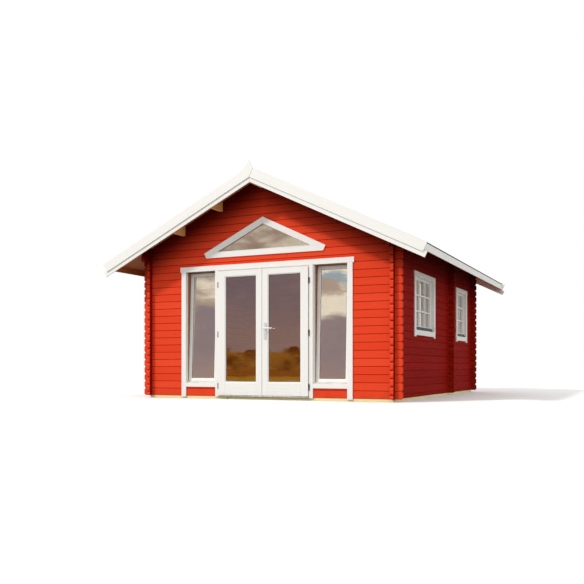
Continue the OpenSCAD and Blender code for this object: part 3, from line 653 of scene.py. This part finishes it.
fascia_back, back_gap = 0.009, 0.0002
eaves, backs = Joinery(), Joinery()
split_x = eaves_in + fascia_back
for made, x0, x1 in ((eaves, split_x, eaves_high.x), (backs, eaves_in, split_x - back_gap)):
    tops = [eaves_high.z - (x - eaves_in) * slope for x in (x0, x1)]
    section = [(x0, eaves_low.z), (x1, eaves_low.z), (x1, tops[1]), (x0, tops[0])]
    for side in (-1, 1):
        made.cut(mirrored(section, side), eaves_high.y - eaves_low.y, facing(eaves_high.y),
                 0.0015, along="depth")
eaves.piece("eaves_fascias", white, "white_paint", "eaves_boards")
backs.piece("eaves_fascia_backs", eaves_pine, "bare_pine")

# ------ Door frame
# Two posts and a head of painted timber, in front of the log ends. A stop
# behind each leaf keeps the wind out.
face_y = front_low.y
front_y = post_low.y
back_y = post_high.y
post_in = post_high.x - post_w
trim_low, trim_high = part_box("front_trim")
head_h, door_head = 0.079, 0.02
head_z = trim_high.z - head_h
stop_w, stop_y, stop_t, stop_foot = 0.012, -2.449, 0.018, 0.058


def crosswise(x):
    """The place of a board that stands at x, its thickness towards the right."""
    return laid(Vector((x, 0, 0)), Y, Z)


door_frame = Joinery()
outline = [(front_y, post_low.z), (beam_low.y, post_low.z), (beam_low.y, beam_high.z),
           (back_y, beam_high.z), (back_y, post_high.z), (face_y, post_high.z),
           (face_y, head_z), (front_y, head_z)]
for x in (post_low.x, post_in):
    door_frame.cut(outline, post_w, crosswise(x), 0.0015, turn=math.pi / 2)
door_frame.board((-post_in, face_y, post_high.z - door_head), (post_in, back_y, post_high.z), "X")
for side in (-1, 1):
    door_frame.board((side * (post_in - stop_w), stop_y, stop_foot),
                     (side * post_in, stop_y + stop_t, post_high.z - door_head), "Z", 0.003)
door_frame.piece("door_posts_and_head", white, "white_paint", "door_frame")

# ------ Threshold
# An extruded aluminium sill on the front beam, stepped down in front of
# it. Ribs along the top give grip, and a plain strip is left at the nose.
sill_low, sill_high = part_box("door_threshold")
rib_n, rib_slant, rib_deep = 8, 0.0006, 0.0016
plain_w, nose = 0.01, 0.004


def metal(name, light, dark, rough):
    """Bare metal: fine drawn marks, and dull patches from handling."""
    made, t, bsdf = new_material(name)
    marks = t.noise(t.stretched(t.grain(), 7, 840, 840), detail=3.0)
    dull = t.noise(t.place(), 30.0, 4.0)
    t.link(t.mix(t.ramp(dull, 0.4, 0.7), light, dark), bsdf["Base Color"])
    t.link(t.plus(t.ramp(dull, 0.35, 0.7, rough, rough + 0.14),
                  t.ramp(marks, 0.3, 0.8, 0.0, 0.08)), bsdf["Roughness"])
    t.bump(bsdf, marks, 0.25, 0.0004)
    bsdf["Metallic"].default_value = 1.0
    return made


aluminium = metal("drawn aluminium", colour(206, 206, 204), colour(176, 175, 171), 0.34)
sill = Joinery()
section = [(sill_low.y, sill_low.z), (beam_low.y, sill_low.z), (beam_low.y, beam_high.z),
           (sill_high.y, beam_high.z), (sill_high.y, sill_high.z)]
pitch = (sill_high.y - sill_low.y - plain_w) / rib_n
for i in range(rib_n):
    y = sill_high.y - i * pitch
    section += [(y - pitch / 2, sill_high.z), (y - pitch / 2 - rib_slant, sill_high.z - rib_deep),
                (y - pitch + rib_slant, sill_high.z - rib_deep), (y - pitch, sill_high.z)]
section += [(sill_low.y + nose, sill_high.z), (sill_low.y, sill_high.z - nose)]
sill.cut(section, sill_high.x - sill_low.x, crosswise(sill_low.x), 0.0, along="depth")
sill.piece("ribbed_threshold", aluminium, "grey_metal", "door_threshold")

# ------ Door leaves
# Each leaf is framed from four stiles and rails, with a double board at its
# foot. Mitred beads hold the glass: white outside, bare pine inside.
bead_w = 0.013
kick_h = 0.106
spindle = Vector((0.056, 0, 1.062))
bore = 0.006


def rectangle(low, high):
    """The corners of an upright pane's edge, grown by an offset."""
    return lambda o: oblong(low[0] - o, low[1] - o, high[0] + o, high[1] + o)


brown = bare_wood("glazing pine", colour(168, 112, 70), colour(128, 78, 44),
                  colour(84, 46, 22), 0.5)
for side, name in ((-1, "left"), (1, "right")):
    low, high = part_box(name + "_door")
    pane_low, pane_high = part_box(name + "_door_glass")
    x = (low.x, pane_low.x - bead_w, pane_high.x + bead_w, high.x)
    z = (low.z, pane_low.z - bead_w, pane_high.z + bead_w, high.z)
    leaf = Joinery()
    if side < 0:
        leaf.board((x[0], low.y, z[0]), (x[1], high.y, z[3]), "Z")
    else:
        stile = oblong(x[0], z[0], x[1], z[3])
        leaf.bored(stile, (spindle.x, spindle.z), bore, high.y - low.y, facing(high.y), 0.002)
    leaf.board((x[2], low.y, z[0]), (x[3], high.y, z[3]), "Z")
    leaf.board((x[1], low.y, z[2]), (x[2], high.y, z[3]), "X")
    leaf.board((x[1], low.y, z[0]), (x[2], high.y, z[0] + kick_h), "X", 0.003)
    leaf.board((x[1], low.y, z[0] + kick_h), (x[2], high.y, z[1]), "X", 0.003)
    edge = rectangle((pane_low.x, pane_low.z), (pane_high.x, pane_high.z))
    leaf.mitred(edge, [(0, 0), (bead_w, 0), (bead_w, 0.018), (0.004, 0.017), (0, 0.009)],
                facing(pane_low.y))
    leaf.piece(name + "_leaf_joinery", white, "white_paint", name + "_door", body=name + "_leaf")
    beads = Joinery()
    beads.mitred(edge, [(0, 0), (bead_w, 0), (bead_w, -0.023), (0.004, -0.021), (0, -0.012)],
                 facing(pane_high.y))
    beads.piece(name + "_leaf_inner_beads", brown, "bare_pine", body=name + "_leaf")

# ------ Door hinges
# Three lift-off hinges a leaf, with turned knuckles and small finials. The
# lower knuckle carries the pin and is fixed to the post.
hinge_z = (0.2, 0.986, 1.748)
hinge_x, hinge_y, hinge_r = 0.7625, -2.4955, 0.0065
flap_t, flap_w, flap_from, flap_to = 0.003, 0.0125, 0.0008, 0.0385
hinge_steel = metal("hinge steel", colour(36, 37, 39), colour(26, 27, 29), 0.6)
knuckle = [(hinge_r - 0.0006, 0.0005), (hinge_r, 0.0012), (hinge_r, 0.0392), (0.0054, 0.0402),
           (0.0034, 0.0412), (0.0034, 0.0424), (0.0048, 0.0438), (0.0048, 0.0452),
           (0.0034, 0.0468), (0.0012, 0.0476)]
for name, body, node, up, sides in (
        ("frame_hinge_knuckles", "cabin", "frame_hinges", -1, (-1, 1)),
        ("left_leaf_hinge_knuckles", "left_leaf", "left_door_hinges", 1, (-1,)),
        ("right_leaf_hinge_knuckles", "right_leaf", "right_door_hinges", 1, (1,))):
    hinges = Joinery()
    for x, z in ((side * hinge_x, z) for side in sides for z in hinge_z):
        hinges.turned([(r, up * h) for r, h in knuckle], Matrix.Translation((x, hinge_y, z)))
        low, high = sorted((z + up * flap_from, z + up * flap_to))
        if up < 0:
            x0, x1, y0, y1 = x - flap_t / 2, x + flap_t / 2, hinge_y, front_y
        else:
            x0, x1 = math.copysign(hinge_x - flap_w, x), x
            y0, y1 = hinge_y - flap_t / 2, hinge_y + flap_t / 2
        hinges.board((x0, y0, low), (x1, y1, high), "Z", 0.0005)
    hinges.piece(name, hinge_steel, "hinge_steel", node, body=body)

# ------ Lock
# A long plate outside and inside, with a round-ended lever on a square
# spindle, the key cylinder below it, and a screw at each end.
plate_low, plate_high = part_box("door_plates")
plate_t, cylinder_z, screw_inset = 0.008, 0.97, 0.014
lock_steel = metal("brushed lock steel", colour(226, 232, 236), colour(200, 205, 208), 0.42)
# Painted shade: the key and screw slots are dark bars laid on the steel where the grooves would
# hold shade.
slot_shade_steel = metal("steel with painted slot shade", colour(40, 40, 42), colour(26, 26, 28), 0.5)


def rounded(x0, y0, x1, y1, r, steps=5):
    """A rectangle with round corners."""
    rim = []
    for cx, cy, first in ((x1 - r, y1 - r, 0), (x0 + r, y1 - r, 1), (x0 + r, y0 + r, 2),
                          (x1 - r, y0 + r, 3)):
        for i in range(steps + 1):
            a = (first + i / steps) * math.pi / 2
            rim.append((cx + r * math.cos(a), cy + r * math.sin(a)))
    return rim


plates, slots = Joinery(), Joinery()
outline = rounded(plate_low.x, plate_low.z, plate_high.x, plate_high.z, 0.012)
screw = [(0.0044, 0), (0.0044, 0.0006), (0.0038, 0.0013), (0.0018, 0.0018), (0.0004, 0.0019)]
barrel = [(0.0092, 0), (0.0092, 0.0026), (0.0086, 0.0032), (0.0003, 0.0034)]
for y, face, out in ((plate_low.y + plate_t, plate_low.y, -1), (plate_high.y, plate_high.y, 1)):
    plates.bored(outline, (spindle.x, spindle.z), bore, plate_t, facing(y), 0.0016)
    turn = Matrix.Rotation(-out * math.pi / 2, 4, "X")
    for z in (plate_low.z + screw_inset, plate_high.z - screw_inset):
        plates.turned(screw, Matrix.Translation((spindle.x, face, z)) @ turn, 16)
        slots.board((spindle.x - 0.0034, face + out * 0.0012, z - 0.0005),
                    (spindle.x + 0.0034, face + out * 0.0021, z + 0.0005), "X", 0.0001)
    plates.turned(barrel, Matrix.Translation((spindle.x, face, cylinder_z)) @ turn, 24)
    slots.board((spindle.x - 0.0011, face + out * 0.0025, cylinder_z - 0.0045),
                (spindle.x + 0.0011, face + out * 0.0038, cylinder_z + 0.0045), "Z", 0.0002)
plates.piece("lock_plates_and_cylinders", lock_steel, "lock_steel", "door_plates",
             body="right_leaf")
slots.piece("key_and_screw_slots", slot_shade_steel, "hinge_steel", body="right_leaf")
finish(lock_steel, "door_lever")

# ------ Sidelights
# Beside each post a lined opening holds a tall bottom-hung sash. Both stand
# ajar on their vent latch, leaning in over a folded metal flashing.
lining_low, lining_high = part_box("sidelight_frames")
lining_t, paint_depth = 0.014, 0.045
sash_t, sash_bar, sash_gap, sash_h = 0.036, 0.056, 0.003, 1.719
sash_lean = math.radians(2.4)
sash_foot = (-2.378, 0.2393)
pane_z = (0.077, 1.669)
linings, painted, sashes, inner_beads = Joinery(), Joinery(), Joinery(), Joinery()
flat = (Matrix.Translation((0, *sash_foot)) @ Matrix.Rotation(-sash_lean, 4, "X") @ facing(0))
x0, x3 = post_high.x, lining_high.x
x1, x2 = x0 + lining_t, x3 - lining_t
sash_panes = []
for side in (-1, 1):
    for a, b in ((x0, x1), (x2, x3)):
        painted.board((side * a, face_y, lining_low.z),
                      (side * b, face_y + paint_depth, lining_high.z), "Z", 0.001)
        linings.board((side * a, face_y + paint_depth, lining_low.z),
                      (side * b, back_y, lining_high.z), "Z", 0.001)
    linings.board((side * x1, face_y, lining_high.z - lining_t),
                  (side * x2, back_y, lining_high.z), "X")
    painted.board((side * x1, face_y, lining_low.z),
                  (side * x2, back_y, lining_low.z + 2 * lining_t), "X")
    a, b = sorted((side * (x1 + sash_gap), side * (x2 - sash_gap)))
    c, d = sorted((side * (x1 + sash_bar), side * (x2 - sash_bar)))
    wide = c - bead_w - a
    for x in (a, d + bead_w):
        sashes.cut(oblong(x, 0, x + wide, sash_h), sash_t, flat, 0.0025, turn=math.pi / 2)
    for z1, z2 in ((0, pane_z[0] - bead_w), (pane_z[1] + bead_w, sash_h)):
        sashes.cut(oblong(c - bead_w, z1, d + bead_w, z2), sash_t, flat, 0.0025)
    edge = rectangle((c, pane_z[0]), (d, pane_z[1]))
    sash_panes.append(edge)
    sashes.mitred(edge, [(0, 0.021), (bead_w, 0.021), (bead_w, 0.033), (0.004, 0.032),
                         (0, 0.026)], flat)
    inner_beads.mitred(edge, [(0, 0.015), (bead_w, 0.015), (bead_w, 0.002), (0.004, 0.003),
                              (0, 0.009)], flat)
linings.piece("sidelight_bare_linings", brown, "bare_pine", "sidelight_frames")
painted.piece("sidelight_painted_linings", white, "white_paint")
sashes.piece("leaning_sashes", white, "white_paint", "sidelight_sashes")
inner_beads.piece("leaning_sash_inner_beads", brown, "bare_pine")

# ------ Flashings
# Sheet metal folded over the foot of each opening sheds the rain. The same
# metal is written light grey under the sidelights, a painted sunlit copy, and
# dark green under the side windows, a painted shaded copy with a dark reflection.
flash_h, side_h, flash_lip = 0.036, 0.058, 0.004


def coated(name, tone, shade, rough):
    """Coated sheet metal, dusty where water dries on it."""
    made, t, bsdf = new_material(name)
    dust = t.noise(t.place(), 14.0, 6.0)
    t.link(t.mix(t.ramp(dust, 0.4, 0.75), tone, shade), bsdf["Base Color"])
    t.link(t.ramp(dust, 0.3, 0.8, rough, rough + 0.2), bsdf["Roughness"])
    t.bump(bsdf, dust, 0.2, 0.001)
    return made


window_low, window_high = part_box("side_window_trim")
win_trim, win_leg, win_ear, win_recess = 0.078, 0.023, 0.011, 0.032
windows = ((window_low.y + win_ear, 1.191, 3), (window_high.y - win_ear - 0.879, 0.879, 2))
opening_z = (window_low.z + win_leg + win_trim, window_high.z - win_trim)
# Painted light and shade: one flashing metal, written light grey in the sun and dark green in the
# shade.
sunlit_copy_sheet = coated("flashing metal, painted sunlit copy", colour(212, 210, 204), colour(190, 187, 178), 0.4)
shaded_copy_sheet = coated("flashing metal, painted shaded copy", colour(38, 56, 60), colour(30, 44, 48), 0.5)
front_flashing, side_flashing = Joinery(), Joinery()
z = lining_low.z + 2 * lining_t
sash_y = sash_foot[0] - sash_t
for side in (-1, 1):
    front_flashing.cut([(face_y, z), (sash_y, z), (sash_y, z + flash_h), (face_y, z + flash_lip)],
                       x2 - x1, crosswise(min(side * x1, side * x2)), 0.001, along="depth")
front_flashing.piece("sidelight_flashings", sunlit_copy_sheet, "grey_metal", "window_flashings")
wall_x = wall_high.x
sash_x = wall_x - win_recess
z = opening_z[0]
for y, wide, across in windows:
    side_flashing.cut([(sash_x, z), (wall_x, z), (wall_x, z + flash_lip), (sash_x, z + side_h)],
                      wide - 2 * win_trim, facing(y + wide - win_trim), 0.001, along="depth")
side_flashing.piece("side_window_flashings", shaded_copy_sheet, "grey_metal")

# ------ Front trim
# Planed boards nailed round the whole door group: a long head board, an
# upright at each end and a short board under each sidelight.
trim_w, head_ear = 0.081, 0.022
sill_z, sill_h = 0.181, 0.061
trim = Joinery()
trim.board((trim_low.x, trim_low.y, head_z), (trim_high.x, trim_high.y, trim_high.z), "X")
outer = trim_high.x - head_ear
for side in (-1, 1):
    trim.board((side * (outer - trim_w), trim_low.y, trim_low.z),
               (side * outer, trim_high.y, head_z), "Z")
    trim.board((side * post_high.x, trim_low.y, sill_z),
               (side * (outer - trim_w), trim_high.y, sill_z + sill_h), "X")
trim.piece("front_trim_boards", white, "white_paint", "front_trim")

# ------ Gable window
# A fixed triangle of glass in a thin frame, and three wide boards round it
# whose lower corners are cut square to the slope. A dark seal lies round
# the glass, and the same seal round the panes of the sidelights and doors;
# its dark line partly stands for painted shade at the glass's edge.
glass_low, glass_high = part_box("gable_window_glass")
tri_frame_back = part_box("gable_window_frame")[1].y
tri_trim_low, tri_trim_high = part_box("gable_window_trim")
tri_lip, tri_trim, tri_cut = 0.012, 0.09, 0.242
seal_w, sash_seat = 0.004, 0.0211


def triangle(o):
    """The corners of the gable window's glass, grown by an offset."""
    half = glass_high.x + o / math.sin(roof_angle) + o / slope
    low = glass_low.z - o
    return [(-half, low), (half, low), (0, low + half * slope)]


def clipped(outline, x, z):
    """What lies towards the middle of a cut square to the right slope."""
    kept = []
    past = [(a - x) * math.cos(roof_angle) - (b - z) * math.sin(roof_angle) for a, b in outline]
    for i, here in enumerate(outline):
        j = (i + 1) % len(outline)
        if past[i] <= 0:
            kept.append(here)
        if past[i] * past[j] < 0:
            share = past[i] / (past[i] - past[j])
            kept.append(tuple(a + share * (b - a) for a, b in zip(here, outline[j])))
    return kept


gable_frame = Joinery()
deep = tri_frame_back - front_y
gable_frame.mitred(triangle, [(0, 0), (tri_lip, 0), (tri_lip, deep), (0, deep)],
                   facing(tri_frame_back))
gable_frame.piece("gable_window_lining", white, "white_paint", "gable_window_frame")
# The seal is rubber, and its dark colour also paints the shade line round the glass.
rubber = coated("dark rubber", colour(48, 40, 36), colour(64, 54, 48), 0.6)
seal_section = [(0, 0), (-seal_w, 0), (-seal_w, 0.001), (0, 0.003)]
seal = Joinery()
seal.mitred(triangle, seal_section, facing(glass_low.y), 0.0)
for edge in sash_panes:
    seal.mitred(edge, [(o, depth + sash_seat) for o, depth in seal_section], flat, 0.0)
seal.piece("window_seals", rubber, "grey_metal")
for name in ("left", "right"):
    low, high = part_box(name + "_door_glass")
    seal = Joinery()
    seal.mitred(rectangle((low.x, low.z), (high.x, high.z)), seal_section, facing(low.y), 0.0)
    seal.piece(name + "_leaf_seal", rubber, "grey_metal", body=name + "_leaf")
inner, outer = triangle(tri_lip), triangle(tri_trim)
cut_x, cut_z = glass_high.x + tri_cut, glass_low.z
slope_board = clipped([inner[2], inner[1], outer[1], outer[2]], cut_x, cut_z)
low_board = clipped([inner[0], outer[0], outer[1], inner[1]], cut_x, cut_z)
low_board = mirrored(clipped(mirrored(low_board), cut_x, cut_z))
gable_trim = Joinery()
on_wall = facing(tri_trim_high.y)
thick = tri_trim_high.y - tri_trim_low.y
gable_trim.cut(slope_board, thick, on_wall, 0.002, turn=-roof_angle)
gable_trim.cut(mirrored(slope_board), thick, on_wall, 0.002, turn=roof_angle)
gable_trim.cut(low_board, thick, on_wall, 0.002)
gable_trim.piece("gable_window_boards", white, "white_paint", "gable_window_trim")

# ------ Side windows
# Two sashes with glazing bars, three panes and two panes wide, in frames
# let into the logs. The outside head board laps over the side boards.
win_stile, win_rail, bar_w, bar_step, pane_rows = 0.076, 0.032, 0.022, 0.001, 3
win_frame_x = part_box("side_window_frames")[0].x
frames, boards = Joinery(), Joinery()
sash_back = sash_x - sash_t
for y, wide, across in windows:
    y0, y1 = y + win_trim, y + wide - win_trim
    z0, z1 = opening_z
    for a in (y0 - lining_t, y1):
        frames.board((win_frame_x, a, z0 - lining_t), (wall_x, a + lining_t, z1 + lining_t),
                     "Z", 0.0015)
    for b in (z0 - lining_t, z1):
        frames.board((win_frame_x, y0, b), (wall_x, y1, b + lining_t), "Y", 0.0015)
    y2, y3 = y0 + win_stile, y1 - win_stile
    z2, z3 = z0 + flash_h + win_rail, z1 - win_rail
    for a in (y0, y3):
        frames.board((sash_back, a, z0), (sash_x, a + win_stile, z1), "Z", 0.0025)
    for a, b in ((z0, z2), (z3, z1)):
        frames.board((sash_back, y2, a), (sash_x, y3, b), "Y", 0.0025)
    pane_y = (y3 - y2 - (across - 1) * bar_w) / across
    pane_h = (z3 - z2 - (pane_rows - 1) * bar_w) / pane_rows
    for i in range(1, across):
        a = y2 + i * (pane_y + bar_w) - bar_w
        frames.board((sash_back, a, z2), (sash_x - bar_step, a + bar_w, z3), "Z", 0.003)
    for i in range(1, pane_rows):
        b = z2 + i * (pane_h + bar_w) - bar_w
        for j in range(across):
            a = y2 + j * (pane_y + bar_w)
            frames.board((sash_back, a, b), (sash_x - bar_step, a + pane_y, b + bar_w), "Y",
                         0.003)
    boards.board((wall_x, y - win_ear, z1),
                 (window_high.x, y + wide + win_ear, window_high.z), "Y")
    for a in (y, y + wide - win_trim):
        boards.board((wall_x, a, window_low.z), (window_high.x, a + win_trim, z1), "Z")
    boards.board((wall_x, y0, z0 - win_trim), (window_high.x, y1, z0), "Y")
frames.piece("side_window_sashes", white, "white_paint", "side_window_frames")
boards.piece("side_window_boards", white, "white_paint", "side_window_trim")

# ------ Glass
# Float glass with a faint reflecting coat. It is a little darker in the
# doors, and its faces are not quite flat.
def glass(name, tint, coat):
    """Clear glass; the coat is its share of mirror."""
    made, t, bsdf = new_material(name)
    film = t.noise(t.place(), 9.0, 5.0)
    t.bump(bsdf, t.noise(t.place(), 2.6, 1.0), 0.06, 0.01)
    t.link(t.ramp(film, 0.35, 0.8, 0.0, 0.03), bsdf["Roughness"])
    dull = [c * 0.9 for c in tint[:3]] + [1]
    t.link(t.mix(t.ramp(film, 0.3, 0.7, 0.0, 0.3), tint, dull), bsdf["Base Color"])
    bsdf["Metallic"].default_value = coat
    bsdf["Transmission Weight"].default_value = 1.0
    bsdf["IOR"].default_value = 1.5
    return made


finish(glass("door glass", colour(232, 220, 218), 0.43), "left_door_glass", "right_door_glass")
finish(glass("sidelight glass", colour(244, 240, 232), 0.78), "sidelight_glass")
finish(glass("gable glass", colour(236, 228, 220), 0.5), "gable_window_glass")
finish(glass("side window glass", colour(240, 238, 234), 0.72), "side_window_glass")

# ------ Studio
# A pale floor, a white backdrop, one soft sun from the front left and an
# even fill. In reflections the far floor is a dry meadow.
sun = stood("key light", bpy.data.lights.new("key light", "SUN"))
sun.data.energy = 1.8
sun.data.angle = math.radians(5)
sun.data.color = (1.0, 0.975, 0.94)
sun.rotation_euler = Vector((0.455, 0.613, -0.645)).to_track_quat("-Z", "Y").to_euler()


def eye_rays(t):
    """Whether a ray is a reflection, and whether the eye sees what it meets,
    straight on, in a reflection or through glass."""
    path = t.node("LightPath").outputs
    glossy = path["Is Glossy Ray"]
    beyond = t.math("MAXIMUM", glossy, path["Is Transmission Ray"])
    return glossy, t.math("MAXIMUM", path["Is Camera Ray"], beyond)


ground_half = 120
corners = oblong(-ground_half, -ground_half, ground_half, ground_half)
mesh = bpy.data.meshes.new("studio_floor")
mesh.from_pydata([(x, y, 0) for x, y in corners], [], [(0, 1, 2, 3)])
made, t, bsdf = new_material("studio floor")
glossy, seen = eye_rays(t)
away = t.split(t.place())[1]
meadow = t.mix(t.ramp(away, -26.0, -30.0), colour(180, 132, 40), colour(150, 90, 32))
meadow = t.mix(t.ramp(away, -17.0, -13.0), meadow, colour(200, 195, 188))
shown = t.mix(glossy, colour(252, 252, 251), meadow)
t.link(t.mix(seen, colour(150, 148, 144), shown), bsdf["Base Color"])
bsdf["Roughness"].default_value = 0.95
bsdf["Specular IOR Level"].default_value = 0.0
mesh.materials.append(made)
studio_floor = stood("studio_floor", mesh)

# The backdrop is white to the eye. Glass and metal also find a soft band of
# brown and mauve low on the front side, with pale cloud above it.
world = bpy.data.worlds.new("studio")
scene.world = world
world.use_nodes = True
t = Nodes(world.node_tree)
backdrop = world.node_tree.nodes["Background"].inputs
glossy, seen = eye_rays(t)
way = t.node("TexCoord").outputs["Generated"]
deep_way, up_way = t.split(way)[1:]
billow = t.noise(t.stretched(way, 9, 9, 26), detail=6.0, roughness=0.6)
leafy = t.noise(t.stretched(way, 24, 24, 40), detail=6.0, roughness=0.7)
height = t.plus(up_way, t.times(t.minus(billow, 0.5), 0.06))
haze = t.mix(t.ramp(height, 0.03, 0.1), colour(178, 150, 140), colour(154, 138, 144))
haze = t.mix(t.ramp(billow, 0.4, 0.62, 0.0, 0.35), haze, colour(192, 164, 150))
puff = t.mix(t.ramp(billow, 0.4, 0.54), colour(192, 170, 157), colour(255, 244, 226))
sky = t.mix(t.ramp(height, 0.136, 0.148), haze, puff)
gap = t.times(t.ramp(height, 0.178, 0.19), t.ramp(billow, 0.56, 0.46))
sky = t.mix(gap, sky, colour(164, 186, 200))
sky = t.mix(t.ramp(up_way, 0.24, 0.34), sky, (1, 1, 1, 1))
crown = t.plus(up_way, t.times(t.minus(leafy, 0.5), 0.03))
clump = t.node("TexVoronoi", {"Vector": t.stretched(way, 13, 13, 0), "Scale": 1.0})
crown = t.plus(crown, t.times(clump.outputs["Distance"], 0.022))
leaves = t.mix(t.ramp(leafy, 0.4, 0.62), colour(122, 66, 22), colour(184, 124, 48))
sky = t.mix(t.ramp(crown, 0.041, 0.038), sky, leaves)
sky = t.mix(t.ramp(deep_way, -0.25, 0.1), sky, (1, 1, 1, 1))
t.link(t.mix(glossy, (1, 1, 1, 1), sky), backdrop["Color"])
t.link(t.math("MAXIMUM", seen, 0.93), backdrop["Strength"])

scene.view_settings.view_transform = "Standard"
